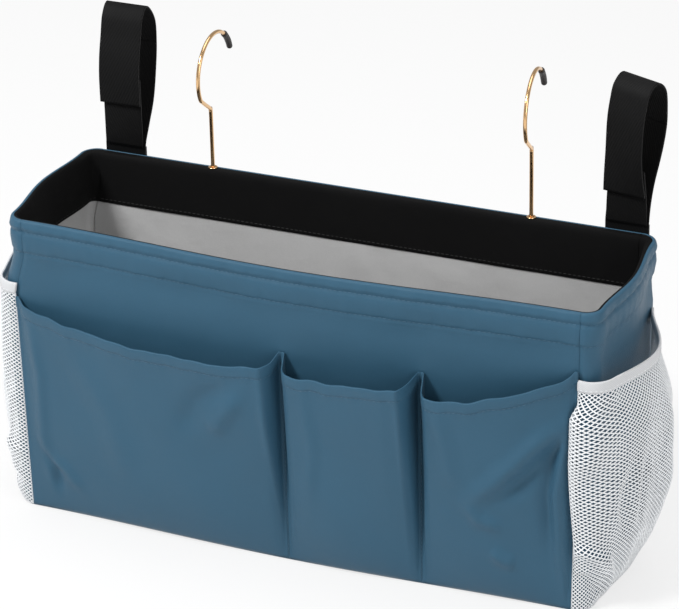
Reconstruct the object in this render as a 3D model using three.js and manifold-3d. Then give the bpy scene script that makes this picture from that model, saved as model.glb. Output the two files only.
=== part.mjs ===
// Hanging bedside caddy. A padded fabric box with three pleated pockets on its front, a net pocket
// on each end, two hook-and-loop straps and two swivelling wire hooks along its back rim.
// Millimetres, +Z up, +Y towards the bed, origin at the centre of the underside.

import * as THREE from "three";
import Module from "manifold-3d";
import { mergeVertices } from "three/addons/utils/BufferGeometryUtils.js";

const wasm = await Module();
wasm.setup();

// Body: a box that narrows a little towards its base, with a front that bows outwards.
const rimWidth = 420;
const baseWidth = 412;
const bodyDepth = 126;
const bodyHeight = 220;
const cornerRadius = 12;
const frontBowAtRim = 9;
const frontBowAtBase = 5.5;
const endBow = 5;

// The left end stands out by its swell up to the top of its net, and by nothing from its shoulder up.
const leftSwell = 8;
const shoulderShare = 0.6;

// Wall layers, from the outside in. Neighbouring pieces keep the clearance.
const clearance = 0.3;
const shellThickness = 0.8;
const coreThickness = 5;
const backBoardThickness = 1.6;
const liningThickness = 0.5;
const facingThickness = 0.7;
const facingHeight = 38;
const baseBoardThickness = 2;

// The two ends, for everything that comes in pairs.
const sides = [{ side: -1, prefix: "left" }, { side: 1, prefix: "right" }];

// Front pockets: the heights at which the hem meets each seam, and for each pocket how its hem stands
// off the wall (share across, share of its depth) and how high it is at its start, middle and end.
const dividerPlaces = [-5.5, 90];
const seamHemHeights = [162, 159.5, 160.5, 178];
const pocketThickness = 0.8;
const hemFold = 8;
const pocketLowerBulge = 6;
const pocketNames = ["left_front_pocket", "middle_front_pocket", "right_front_pocket"];
const pocketDepths = [20, 26, 21];
const pocketHemHeights = [[158, 151, 155], [152, 154.5, 158.5], [152.5, 158, 176]];
const pocketProfileShares = [
  [
    [0.03, 0.2], [0.09, 0.4], [0.19, 0.57], [0.3, 0.72], [0.45, 0.89], [0.6, 0.97],
    [0.75, 1], [0.88, 0.98], [0.955, 0.9], [0.985, 0.5],
  ],
  [
    [0.03, 0.42], [0.1, 0.7], [0.22, 0.78], [0.38, 0.81], [0.54, 0.85], [0.7, 0.92],
    [0.85, 1], [0.93, 1], [0.975, 0.62],
  ],
  [
    [0.03, 0.6], [0.08, 0.93], [0.2, 1], [0.34, 0.99], [0.5, 0.92], [0.65, 0.78],
    [0.8, 0.55], [0.9, 0.34], [0.97, 0.14],
  ],
];
const frontPockets = pocketNames.map((name, index) => ({
  name,
  depth: pocketDepths[index],
  hem: pocketHemHeights[index],
  profileShares: pocketProfileShares[index],
}));

// Net pockets on the two ends, each with an elastic band along its top edge.
const netThickness = 0.8;
const elasticThickness = 1.6;
const elasticHeight = 8;
const netHemHeight = 173;
const netBackShare = 0.86;
const netLean = 0.9;
const netRoundness = 1.2;
const netBulges = [20, 31];
const netHemBulges = [9, 17];
const netRowShares = [
  [[0, 0], [0.03, 0.35], [0.08, 0.62], [0.17, 0.88], [0.33, 0.96], [0.5, 1], [0.78, 0.72]],
  [[0, 0], [0.03, 0.12], [0.08, 0.27], [0.17, 0.48], [0.33, 0.76], [0.55, 0.97], [0.78, 0.98]],
];
const netPockets = sides.map(({ side, prefix }, index) => ({
  side,
  prefix,
  bulge: netBulges[index],
  hemBulge: netHemBulges[index],
  rowShares: netRowShares[index],
}));

// The hooks and straps stand this far to the right of the middle.
const hangerShift = 3;

// Wire hooks, and the batten inside the back wall that carries them.
const hookSpacing = 230;

// The right hook stands farther out and higher than its place in an even pair, and is turned a little.
const hookSlips = [0, 3];
const hookRises = [0, 6];
const hookTurns = [0, THREE.MathUtils.degToRad(6)];

const wireDiameter = 2.8;
const hookRadius = 27;
const hookCentreBack = 8.5;
const hookCentreHeight = 69;
const hookStemHeight = 45;
const hookNeckShares = [[0, -0.4], [0.06, -0.06], [0.2, 0.14], [0.55, 0.5], [0.85, 0.83]];
const hookArcStart = THREE.MathUtils.degToRad(208);
const hookArcEnd = THREE.MathUtils.degToRad(21);
const tipStart = THREE.MathUtils.degToRad(50);
const tipDiameter = 4.4;
const tipNose = 1;
const headDiameter = 4.6;
const headThickness = 1.4;
const washerThickness = 0.8;
const battenLength = 360;
const battenHeight = 16;
const battenDrop = 2;
const eyeletDiameter = 6.4;
const eyeletBarrelDiameter = 4.6;
const eyeletFlange = 0.6;
const eyeletBarrelDepth = 1.8;

// Straps: a long webbing that loops over the rail, and a short tongue that its end grips.
const strapSpacing = 367;
const strapWidth = 30;
const webbingThickness = 1.4;
const tapeThickness = 0.8;
const tapeInset = 2;
const anchorLength = 38;
const tongueInset = 1;
const strapHeight = 101;
const strapReaches = [25, 20];
const strapTwists = [0, THREE.MathUtils.degToRad(-22)];
const flapFeet = [38, 28];
const gripHeight = 18;
const hookTapeLead = 3;
const twistHeight = 60;

// The opening between a strap's two lengths at the top of its loop, where the flap hinges.
const loopSplit = 0.9;

// Each loop's side view: shares of its backward reach and of its height, from the hinge to the top,
// and from the top down to where the flap lies flat.
const loopBackShares = [
  [[0.08, 0.06], [0.32, 0.16], [0.66, 0.31], [0.89, 0.52], [1, 0.7], [0.95, 0.87]],
  [[0.1, 0.1], [0.36, 0.26], [0.68, 0.44], [0.95, 0.64], [1, 0.78], [0.91, 0.93]],
];
const loopTopShares = [0.5, 1];
const loopFrontShares = [
  [[0.17, 0.94], [0, 0.8], [-0.15, 0.66]],
  [[0.1, 0.95], [-0.08, 0.85], [-0.22, 0.7]],
];
const straps = sides.map(({ side, prefix }, index) => ({
  side,
  prefix,
  reach: strapReaches[index],
  twist: strapTwists[index],
  flapFoot: flapFeet[index],
  tongueTop: flapFeet[index] + gripHeight,
  backShares: loopBackShares[index],
  frontShares: loopFrontShares[index],
}));

// How finely each kind of piece is divided, and how far a cutter runs past what it cuts.
const pocketRowShares = [0, 0.03, 0.1, 0.25, 0.45, 0.7, 0.88];
const netColumns = 22;
const wallSteps = 24;
const endSteps = 30;
const wireSides = 10;
const wireSteps = 60;
const hookArcSteps = 16;
const tipArcSteps = 6;
const tipSteps = 8;
const tipBoreSteps = 10;
const roundSteps = 24;
const loopSteps = 44;
const stripSteps = 10;
const widthSteps = 3;
const overrun = 5;

// Levels up the body.
const elasticFoot = netHemHeight - elasticHeight;
const netTop = elasticFoot - clearance;
const shoulderHeight = THREE.MathUtils.lerp(elasticFoot, bodyHeight, shoulderShare);
const shellFoot = shellThickness + clearance;
const coreFoot = shellFoot + baseBoardThickness + clearance;
const liningFoot = coreFoot + liningThickness + clearance;
const rimUnderside = bodyHeight - shellThickness;
const coreTop = rimUnderside - clearance;
const battenTop = rimUnderside - battenDrop;
const battenFoot = battenTop - battenHeight;
const washerTop = battenFoot - clearance;
const headTop = washerTop - washerThickness - clearance;
const stemFoot = headTop - headThickness;
const backCoreTop = stemFoot - clearance;

// Layers through each wall as [outer, inner] insets from the outside of the shell.
function stackLayers(thicknesses) {
  let inset = 0;
  return thicknesses.map((thickness) => {
    const layer = [inset, inset + thickness];
    inset = layer[1] + clearance;
    return layer;
  });
}
const backFoamThickness = coreThickness - backBoardThickness - clearance;
const [shellLayer, coreLayer, liningLayer, facingLayer] = stackLayers([
  shellThickness,
  coreThickness,
  liningThickness,
  facingThickness,
]);
const [, boardLayer, backFoamLayer] = stackLayers([shellThickness, backBoardThickness, backFoamThickness]);

// The hooks' stems stand in the middle of the back wall's core.
const stemY = bodyDepth / 2 - (coreLayer[0] + coreLayer[1]) / 2;
const hookPlaces = sides.map(({ side }, index) => {
  return hangerShift + hookSlips[index] + (side * hookSpacing) / 2;
});

// A bump that starts and ends flat and peaks at 1 halfway.
function bump(share) {
  return (1 - Math.cos(2 * Math.PI * share)) / 2;
}

function halfWidthAt(z) {
  return THREE.MathUtils.lerp(baseWidth, rimWidth, z / bodyHeight) / 2;
}

// How far the left end stands out at a height.
function swellAt(z) {
  return leftSwell * THREE.MathUtils.clamp((shoulderHeight - z) / (shoulderHeight - netTop), 0, 1);
}

// The outside of the shell at a share of a wall's run, with its outward normal. The front and back
// run from the left seam to the right one; the ends run from the front seam round to the back one.
function front(share, z) {
  const half = halfWidthAt(z) - cornerRadius;
  const bow = THREE.MathUtils.lerp(frontBowAtBase, frontBowAtRim, z / bodyHeight) * bump(share);
  return { x: (2 * share - 1) * half - (1 - share) * swellAt(z), y: -bodyDepth / 2 - bow, nx: 0, ny: -1 };
}

function back(share, z) {
  const half = halfWidthAt(z) - cornerRadius;
  return { x: (2 * share - 1) * half - (1 - share) * swellAt(z), y: bodyDepth / 2, nx: 0, ny: 1 };
}

function endFrame(side, share, z) {
  const centreX = halfWidthAt(z) - cornerRadius + (side < 0 ? swellAt(z) : 0);
  const straight = bodyDepth - 2 * cornerRadius;
  const arc = (cornerRadius * Math.PI) / 2;
  const run = share * (straight + 2 * arc);
  const turn = Math.min(run, arc) / cornerRadius + Math.max(run - arc - straight, 0) / cornerRadius;
  const along = THREE.MathUtils.clamp((run - arc) / straight, 0, 1);
  const nx = Math.sin(turn);
  const ny = -Math.cos(turn);
  const x = centreX + cornerRadius * nx + endBow * bump(along);
  const y = (along - 1 / 2) * straight + cornerRadius * ny;
  return { x: side * x, y, nx: side * nx, ny };
}

const leftEnd = (share, z) => endFrame(-1, share, z);
const rightEnd = (share, z) => endFrame(1, share, z);

// A point that lies inset from a wall's outside; a negative inset stands off it.
function wallPoint(wall, share, inset, z) {
  const { x, y, nx, ny } = wall(share, z);
  return new THREE.Vector3(x - inset * nx, y - inset * ny, z);
}

// A closed mesh from vertices and triangles, turned to face outwards.
function closedGeometry(vertices, triangles) {
  const volume = triangles.reduce((sum, [a, b, c]) => {
    const cross = new THREE.Vector3().crossVectors(vertices[b], vertices[c]);
    return sum + vertices[a].dot(cross);
  }, 0);
  const ordered = volume < 0 ? triangles.map(([a, b, c]) => [a, c, b]) : triangles;
  const geometry = new THREE.BufferGeometry().setFromPoints(vertices);
  geometry.setIndex(ordered.flat());
  return geometry;
}

// A section polygon carried through a row of rings, with both ends capped by its faces.
function loft(rings, section, faces = THREE.ShapeUtils.triangulateShape(section, [])) {
  const size = section.length;
  const triangles = [];
  for (let ring = 0; ring + 1 < rings.length; ring += 1) {
    for (let corner = 0; corner < size; corner += 1) {
      const a = ring * size + corner;
      const b = ring * size + ((corner + 1) % size);
      triangles.push([a, b, b + size], [a, b + size, a + size]);
    }
  }
  const last = (rings.length - 1) * size;
  for (const [a, b, c] of faces) {
    triangles.push([a, c, b], [last + a, last + b, last + c]);
  }
  return closedGeometry(rings.flat(), triangles);
}

// A wall section's faces, in bands between the heights where the left end bends.
function bandedFaces(section) {
  const bends = [-Infinity, netTop, shoulderHeight, Infinity];
  return bends.slice(1).flatMap((top, band) => {
    const corners = section.flatMap(({ y: z }, corner) => (z >= bends[band] && z <= top ? [corner] : []));
    if (corners.length < 3) return [];
    const faces = THREE.ShapeUtils.triangulateShape(corners.map((corner) => section[corner]), []);
    return faces.map((face) => face.map((index) => corners[index]));
  });
}

// A wall strip: an [inset, height] section swept along a wall, short of the seam at each end.
function wallStrip(wall, section, steps) {
  const outline = section.map(([inset, z]) => new THREE.Vector2(inset, z));
  if (THREE.ShapeUtils.isClockWise(outline)) outline.reverse();
  const middle = wall(1 / 2, bodyHeight);
  const run = Math.abs(middle.ny) > 1 / 2 ? rimWidth : bodyDepth;
  const margin = clearance / 2 / run;
  const rings = [];
  for (let step = 0; step <= steps; step += 1) {
    const share = THREE.MathUtils.lerp(margin, 1 - margin, step / steps);
    rings.push(outline.map(({ x: inset, y: z }) => wallPoint(wall, share, inset, z)));
  }
  return loft(rings, outline, bandedFaces(outline));
}

// The heights of a wall section's corners from its foot to its top, with one where the left end bends.
function levels(foot, top, extra = []) {
  const between = [netTop, shoulderHeight, ...extra].filter((z) => z > foot && z < top);
  return [foot, ...between.sort((a, b) => a - b), top];
}

function slab([outer, inner], foot, top) {
  const heights = levels(foot, top);
  return [...heights.map((z) => [outer, z]), ...heights.reverse().map((z) => [inner, z])];
}

// A flat sheet of the body's outline, inset from the shell.
function floorSheet(inset, foot, thickness) {
  const outline = [];
  const runs = [
    [front, 0, 1, wallSteps],
    [rightEnd, 0, 1, endSteps],
    [back, 1, 0, 1],
    [leftEnd, 1, 0, endSteps],
  ];
  for (const [wall, from, to, steps] of runs) {
    for (let step = 0; step < steps; step += 1) {
      const share = THREE.MathUtils.lerp(from, to, step / steps);
      const { x, y } = wallPoint(wall, share, inset, foot);
      outline.push(new THREE.Vector2(x, y));
    }
  }
  const geometry = new THREE.ExtrudeGeometry(new THREE.Shape(outline), {
    depth: thickness,
    bevelEnabled: false,
  });
  return geometry.translate(0, 0, foot);
}

// The surface normals of a grid of points, as a sheet's thickness direction.
function gridNormals(grid) {
  return grid.map((row, r) =>
    row.map((point, c) => {
      const up = grid[Math.min(r + 1, grid.length - 1)][c].clone().sub(grid[Math.max(r - 1, 0)][c]);
      const along = row[Math.min(c + 1, row.length - 1)].clone().sub(row[Math.max(c - 1, 0)]);
      return along.cross(up).normalize();
    }),
  );
}

// A sheet with a thickness: the grid is its inner face, its columns run so that it grows outwards.
function sheet(grid, thicknessOfRow) {
  const normals = gridNormals(grid);
  const outer = grid.map((row, r) =>
    row.map((point, c) => point.clone().addScaledVector(normals[r][c], thicknessOfRow(r))),
  );
  const rows = grid.length;
  const columns = grid[0].length;
  const size = rows * columns;
  const at = (r, c) => r * columns + c;
  const triangles = [];
  const quad = (a, b, c, d) => triangles.push([a, b, c], [a, c, d]);
  for (let r = 0; r + 1 < rows; r += 1) {
    for (let c = 0; c + 1 < columns; c += 1) {
      const corners = [at(r, c), at(r, c + 1), at(r + 1, c + 1), at(r + 1, c)];
      quad(...corners.map((index) => index + size));
      quad(...corners.reverse());
    }
    quad(at(r, 0), at(r, 0) + size, at(r + 1, 0) + size, at(r + 1, 0));
    const [below, above] = [at(r, columns - 1), at(r + 1, columns - 1)];
    quad(above, above + size, below + size, below);
  }
  for (let c = 0; c + 1 < columns; c += 1) {
    quad(at(0, c + 1), at(0, c + 1) + size, at(0, c) + size, at(0, c));
    quad(at(rows - 1, c), at(rows - 1, c) + size, at(rows - 1, c + 1) + size, at(rows - 1, c + 1));
  }
  return closedGeometry([...grid.flat(), ...outer.flat()], triangles);
}

// Boolean cuts and joins.
function solidOf(geometry) {
  const bare = new THREE.BufferGeometry().setAttribute("position", geometry.getAttribute("position"));
  if (geometry.index) bare.setIndex(geometry.index);
  const merged = mergeVertices(bare);
  return new wasm.Manifold(
    new wasm.Mesh({
      numProp: 3,
      vertProperties: merged.getAttribute("position").array,
      triVerts: new Uint32Array(merged.index.array),
    }),
  );
}

function geometryOf(solid) {
  const { vertProperties, triVerts } = solid.getMesh();
  const geometry = new THREE.BufferGeometry();
  geometry.setAttribute("position", new THREE.BufferAttribute(vertProperties, 3));
  return geometry.setIndex(new THREE.BufferAttribute(triVerts, 1));
}

function cut(geometry, cutters) {
  return geometryOf(cutters.reduce((rest, cutter) => rest.subtract(solidOf(cutter)), solidOf(geometry)));
}

function join(geometries) {
  return geometryOf(geometries.map(solidOf).reduce((sum, next) => sum.add(next)));
}

// An upright cylinder or ring.
function upright(diameter, foot, top) {
  const geometry = new THREE.CylinderGeometry(diameter / 2, diameter / 2, top - foot, roundSteps);
  return geometry.rotateX(Math.PI / 2).translate(0, 0, (foot + top) / 2);
}

// Materials.
const cloth = (color, roughness) => new THREE.MeshStandardMaterial({ color, roughness, metalness: 0 });
const materials = {
  oxford: cloth(0x44687f, 0.75),
  lining: cloth(0xa9a9a9, 0.6),
  facing: cloth(0x121212, 0.85),
  foam: cloth(0xf2f1ec, 0.9),
  board: cloth(0x3a3d40, 0.6),
  net: cloth(0xe4e6e8, 0.8),
  elastic: cloth(0xdadcde, 0.75),
  webbing: cloth(0x181818, 0.85),
  tape: cloth(0x0f0f0f, 0.95),
  brass: new THREE.MeshStandardMaterial({ color: 0xd8a56a, roughness: 0.22, metalness: 1 }),
  rubber: cloth(0x3c3735, 0.6),
};

const caddy = new THREE.Group();

function add(name, geometry, material, position = [0, 0, 0]) {
  const mesh = new THREE.Mesh(geometry, materials[material]);
  mesh.name = name;
  mesh.position.set(...position);
  caddy.add(mesh);
  return mesh;
}

// The section of a shell wall, turned in over the rim. Extra heights divide its outer face.
function shellSection(extra = []) {
  const [outer, inner] = shellLayer;
  const turnIn = liningLayer[1];
  return [
    ...levels(shellFoot, bodyHeight, extra).map((z) => [outer, z]),
    [turnIn, bodyHeight],
    [turnIn, rimUnderside],
    ...levels(shellFoot, rimUnderside).reverse().map((z) => [inner, z]),
  ];
}

// Shell: four walls and a base of cloth.
function addShell() {
  const rimHoles = hookPlaces.map((x) => {
    const hole = upright(eyeletBarrelDiameter + 2 * clearance, rimUnderside - overrun, bodyHeight + overrun);
    return hole.translate(x, stemY, 0);
  });
  const belowAnchors = bodyHeight - anchorLength - clearance;
  add("front_panel", wallStrip(front, shellSection(), wallSteps), "oxford");
  add("back_panel", cut(wallStrip(back, shellSection([belowAnchors]), 1), rimHoles), "oxford");
  add("left_end_panel", wallStrip(leftEnd, shellSection(), endSteps), "oxford");
  add("right_end_panel", wallStrip(rightEnd, shellSection(), endSteps), "oxford");
  add("base_panel", floorSheet(0, 0, shellThickness), "oxford");
}

// Core: foam in the walls, a stiff board in the base and another behind the back foam.
function addCore() {
  const core = slab(coreLayer, coreFoot, coreTop);
  add("front_foam", wallStrip(front, core, wallSteps), "foam");
  add("back_foam", wallStrip(back, slab(backFoamLayer, coreFoot, backCoreTop), 1), "foam");
  add("left_end_foam", wallStrip(leftEnd, core, endSteps), "foam");
  add("right_end_foam", wallStrip(rightEnd, core, endSteps), "foam");
  add("back_board", wallStrip(back, slab(boardLayer, coreFoot, backCoreTop), 1), "board");
  add("base_board", floorSheet(coreLayer[0], shellFoot, baseBoardThickness), "board");
}

// Lining bag, and the facing bands that finish its top edge inside the rim.
function addLining() {
  const wall = slab(liningLayer, liningFoot, coreTop);
  const band = slab(facingLayer, bodyHeight - facingHeight, bodyHeight);
  const walls = [
    ["front", front, wallSteps],
    ["back", back, 1],
    ["left_end", leftEnd, endSteps],
    ["right_end", rightEnd, endSteps],
  ];
  for (const [name, run, steps] of walls) {
    add(`${name}_lining`, wallStrip(run, wall, steps), "lining");
    add(`${name}_facing`, wallStrip(run, band, steps), "facing");
  }
  add("base_lining", floorSheet(coreLayer[1] + clearance, coreFoot, liningThickness), "lining");
}

// A smooth curve through three heights, at the start, middle and end of a run.
function throughThree([start, middle, end], share) {
  const ends = start * (1 - share) * (1 - 2 * share) + end * share * (2 * share - 1);
  return ends + 4 * middle * share * (1 - share);
}

// One front pocket: sewn flat at its two seams and its foot, and standing off most at its hem.
function pocketGrid(pocket, index) {
  const width = baseWidth - 2 * cornerRadius;
  const seams = [0, ...dividerPlaces.map((x) => (x + width / 2 + leftSwell) / (width + leftSwell)), 1];
  const edge = (2 * pocketThickness + clearance) / width;
  const from = seams[index] + edge;
  const to = seams[index + 1] - edge;
  const columns = [
    { across: 0, depth: 0, hem: seamHemHeights[index] },
    ...pocket.profileShares.map(([across, share]) => {
      return { across, depth: pocket.depth * share, hem: throughThree(pocket.hem, across) };
    }),
    { across: 1, depth: 0, hem: seamHemHeights[index + 1] },
  ];
  const top = Math.max(...pocket.hem);
  const foldShare = 1 - hemFold / top;
  const rows = [...pocketRowShares, foldShare, foldShare + clearance / top, 1];
  return rows.map((rowShare) =>
    columns.map(({ across, depth, hem }) => {
      const share = THREE.MathUtils.lerp(from, to, across);
      const z = THREE.MathUtils.lerp(shellFoot, hem, rowShare);
      const lower = pocketLowerBulge * Math.sin(Math.PI * across) * Math.sin(Math.PI * Math.sqrt(rowShare));
      return wallPoint(front, share, -(clearance + depth * rowShare + lower), z);
    }),
  );
}

function addFrontPockets() {
  frontPockets.forEach((pocket, index) => {
    const grid = pocketGrid(pocket, index);
    const doubled = grid.length - 2;
    const thickness = (row) => (row >= doubled ? 2 * pocketThickness : pocketThickness);
    add(pocket.name, sheet(grid, thickness), "oxford");
  });
}

// A point of a net pocket, which stands off its end wall most a little in front of the middle.
function netPoint(net, share, z, standOff) {
  const wall = net.side < 0 ? leftEnd : rightEnd;
  const swell = Math.sin(Math.PI * share ** netLean) ** netRoundness;
  return wallPoint(wall, share * netBackShare, -(clearance + standOff * swell), z);
}

function netRow(net, z, standOff) {
  const row = [];
  for (let column = 0; column <= netColumns; column += 1) {
    const share = column / netColumns;
    row.push(netPoint(net, net.side > 0 ? share : 1 - share, z, standOff));
  }
  return row;
}

function addNetPockets() {
  for (const net of netPockets) {
    const grid = net.rowShares.map(([heightShare, bulgeShare]) => {
      const z = THREE.MathUtils.lerp(shellFoot, netTop, heightShare);
      return netRow(net, z, net.bulge * bulgeShare);
    });
    grid.push(netRow(net, netTop, net.hemBulge));
    add(`${net.prefix}_net_pocket`, sheet(grid, () => netThickness), "net");
    const band = [netTop + clearance, netHemHeight].map((z) => netRow(net, z, net.hemBulge));
    add(`${net.prefix}_elastic_hem`, sheet(band, () => elasticThickness), "elastic");
  }
}

// A stiff batten in the head of the back wall, with an upright bore for each hook.
function addBatten() {
  const depth = coreLayer[1] - coreLayer[0];
  const bar = new THREE.BoxGeometry(battenLength, depth, battenHeight);
  bar.translate(0, stemY, (battenFoot + battenTop) / 2);
  const bores = hookPlaces.map((x) => {
    const bore = upright(wireDiameter + 2 * clearance, battenFoot - overrun, battenTop + overrun);
    return bore.translate(x, stemY, 0);
  });
  add("hook_batten", cut(bar, bores), "board");
}

// A point of a hook's big arc in its side view, as [backwards, upwards] from where it leaves the rim.
function hookArcPoint(angle, rise) {
  const centre = hookCentreHeight + rise;
  return [hookCentreBack + hookRadius * Math.cos(angle), centre + hookRadius * Math.sin(angle)];
}

function arcLine(fromAngle, toAngle, steps, rise) {
  const points = [];
  for (let step = 0; step <= steps; step += 1) {
    const [y, z] = hookArcPoint(THREE.MathUtils.lerp(fromAngle, toAngle, step / steps), rise);
    points.push(new THREE.Vector3(0, y, z));
  }
  return points;
}

// The wire's centre line: an upright stem, a cranked neck and the big arc.
function hookLine(rise) {
  const [arcY, arcZ] = hookArcPoint(hookArcStart, rise);
  const points = [[0, stemFoot - bodyHeight], [0, 0]];
  for (const [shareY, shareZ] of hookNeckShares) {
    points.push([arcY * shareY, THREE.MathUtils.lerp(hookStemHeight + rise, arcZ, shareZ)]);
  }
  const neck = points.map(([y, z]) => new THREE.Vector3(0, y, z));
  return [...neck, ...arcLine(hookArcStart, hookArcEnd, hookArcSteps, rise)];
}

// A round bar along a smooth line through points.
function tube(points, diameter, steps) {
  const circle = new THREE.Shape().absarc(0, 0, diameter / 2, 0, 2 * Math.PI);
  return new THREE.ExtrudeGeometry(circle, {
    steps,
    curveSegments: wireSides / 2,
    extrudePath: new THREE.CatmullRomCurve3(points, false, "centripetal"),
  });
}

// Wire with an upset head below the washer.
function hookWire(rise) {
  const head = upright(headDiameter, stemFoot - bodyHeight, headTop - bodyHeight);
  return join([tube(hookLine(rise), wireDiameter, wireSteps), head]);
}

// Rubber sleeve over the hook's end, closed with a round nose.
function hookTip(rise) {
  const noseAngle = hookArcEnd - (clearance + tipNose) / hookRadius;
  const [noseY, noseZ] = hookArcPoint(noseAngle, rise);
  const nose = new THREE.SphereGeometry(tipDiameter / 2, wireSides, wireSides / 2).translate(0, noseY, noseZ);
  const body = join([tube(arcLine(tipStart, noseAngle, tipArcSteps, rise), tipDiameter, tipSteps), nose]);
  const boreStart = tipStart + overrun / hookRadius;
  const boreLine = arcLine(boreStart, hookArcEnd - clearance / hookRadius, tipArcSteps, rise);
  return cut(body, [tube(boreLine, wireDiameter + 2 * clearance, tipBoreSteps)]);
}

// A ring turned from a [radius, height] section.
function lathe(points) {
  const outline = points.map(([radius, z]) => new THREE.Vector2(radius, z));
  return new THREE.LatheGeometry([...outline, outline[0]], roundSteps).rotateX(Math.PI / 2);
}

function eyelet() {
  const hole = wireDiameter / 2 + clearance;
  const barrel = eyeletBarrelDiameter / 2;
  const rim = eyeletDiameter / 2;
  const top = clearance + eyeletFlange;
  return lathe([
    [hole, -eyeletBarrelDepth],
    [barrel, -eyeletBarrelDepth],
    [barrel, clearance],
    [rim, clearance],
    [rim, top],
    [hole, top],
  ]);
}

function washer() {
  const hole = wireDiameter / 2 + clearance;
  const rim = headDiameter / 2;
  const top = washerTop - bodyHeight;
  return lathe([[hole, top - washerThickness], [rim, top - washerThickness], [rim, top], [hole, top]]);
}

function addHooks() {
  sides.forEach(({ prefix }, index) => {
    const place = [hookPlaces[index], stemY, bodyHeight];
    const rise = hookRises[index];
    add(`${prefix}_hook`, hookWire(rise), "brass", place).rotation.z = hookTurns[index];
    add(`${prefix}_hook_tip`, hookTip(rise), "rubber", place).rotation.z = hookTurns[index];
    add(`${prefix}_hook_washer`, washer(), "brass", place);
    add(`${prefix}_hook_eyelet`, eyelet(), "brass", place);
  });
}

// A band of a strap along a [backwards, upwards] line, drawn out to its width.
function ribbon(line, thickness, width) {
  const half = thickness / 2;
  const faces = [[], []];
  line.forEach((point, index) => {
    const next = line[Math.min(index + 1, line.length - 1)];
    const last = line[Math.max(index - 1, 0)];
    const normal = new THREE.Vector2(last.y - next.y, next.x - last.x).normalize();
    faces[0].push(point.clone().addScaledVector(normal, half));
    faces[1].push(point.clone().addScaledVector(normal, -half));
  });
  return drawnOut(new THREE.Shape([...faces[0], ...faces[1].reverse()]), width);
}

// A straight upright band between two heights.
function uprightStrip(inner, foot, top, thickness, width) {
  const middle = inner + thickness / 2;
  const line = [];
  for (let step = 0; step <= stripSteps; step += 1) {
    line.push(new THREE.Vector2(middle, THREE.MathUtils.lerp(foot, top, step / stripSteps)));
  }
  return ribbon(line, thickness, width);
}

// A side view drawn out to a strap's width.
function drawnOut(shape, width) {
  const geometry = new THREE.ExtrudeGeometry(shape, {
    depth: width,
    steps: widthSteps,
    bevelEnabled: false,
    curveSegments: wireSides,
  });
  const turn = new THREE.Matrix4().makeBasis(
    new THREE.Vector3(0, 1, 0),
    new THREE.Vector3(0, 0, 1),
    new THREE.Vector3(1, 0, 0),
  );
  return geometry.translate(0, 0, -width / 2).applyMatrix4(turn);
}

// The strap swings about the rounded top of the anchor's rear layer, so the layers that swing lie
// in front of it, and that top stands high enough for them to lie forward over the rim.
const stackThickness = 2 * webbingThickness + clearance;
const swingGap = webbingThickness / 2 + clearance;
const hinge = {
  y: clearance + stackThickness - webbingThickness / 2,
  z: swingGap + stackThickness + clearance,
};
const strapFront = hinge.y - swingGap - webbingThickness;
const tongueFront = strapFront - clearance - webbingThickness;
const hookTapeFront = tongueFront - clearance - tapeThickness;
const loopTapeFront = hookTapeFront - clearance - tapeThickness;
const flapFront = loopTapeFront - clearance - webbingThickness;
const strapFoot = hinge.z + swingGap;

// Two layers of webbing sewn to the back wall; the rear one rises to the hinge line.
function anchorShape() {
  const shape = new THREE.Shape();
  const rear = clearance + stackThickness;
  const step = rear - webbingThickness;
  shape.moveTo(clearance, -anchorLength);
  shape.lineTo(rear, -anchorLength);
  shape.lineTo(rear, hinge.z);
  shape.absarc(hinge.y, hinge.z, webbingThickness / 2, 0, Math.PI);
  shape.lineTo(step, 0);
  shape.lineTo(clearance, 0);
  return shape;
}

// The loop from the hinge up its back, over the top and down its front, cut in two at its top.
function loopLines(strap) {
  const middle = strapFront + webbingThickness / 2;
  const flapMiddle = flapFront + webbingThickness / 2;
  const place = ([reachShare, heightShare]) => [
    middle + strap.reach * reachShare,
    hinge.z + strapHeight * heightShare,
  ];
  const points = [
    [middle, strapFoot],
    ...strap.backShares.map(place),
    place(loopTopShares),
    ...strap.frontShares.map(place),
    [flapMiddle, strap.tongueTop],
    [flapMiddle, strap.flapFoot],
  ];
  const curve = new THREE.SplineCurve(points.map(([y, z]) => new THREE.Vector2(y, z)));
  const line = curve.getSpacedPoints(loopSteps);
  const heights = line.map((point) => point.y);
  const top = heights.indexOf(Math.max(...heights));
  return { rising: line.slice(0, top + 1).reverse(), falling: line.slice(top) };
}

// Turns a strap's piece about its upright, from nothing at its foot to all of the angle above the twist.
function twisted(geometry, angle) {
  const position = geometry.getAttribute("position");
  const point = new THREE.Vector3();
  const upward = new THREE.Vector3(0, 0, 1);
  for (let index = 0; index < position.count; index += 1) {
    point.fromBufferAttribute(position, index);
    const share = THREE.MathUtils.smoothstep(point.z, strapFoot, twistHeight);
    point.applyAxisAngle(upward, angle * share);
    position.setXYZ(index, point.x, point.y, point.z);
  }
  return geometry;
}

// A line whose first end stops half the split short of the loop's top.
function trimmed(line) {
  const along = line[1].clone().sub(line[0]).normalize();
  return [line[0].clone().addScaledVector(along, loopSplit / 2), ...line.slice(1)];
}

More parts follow.
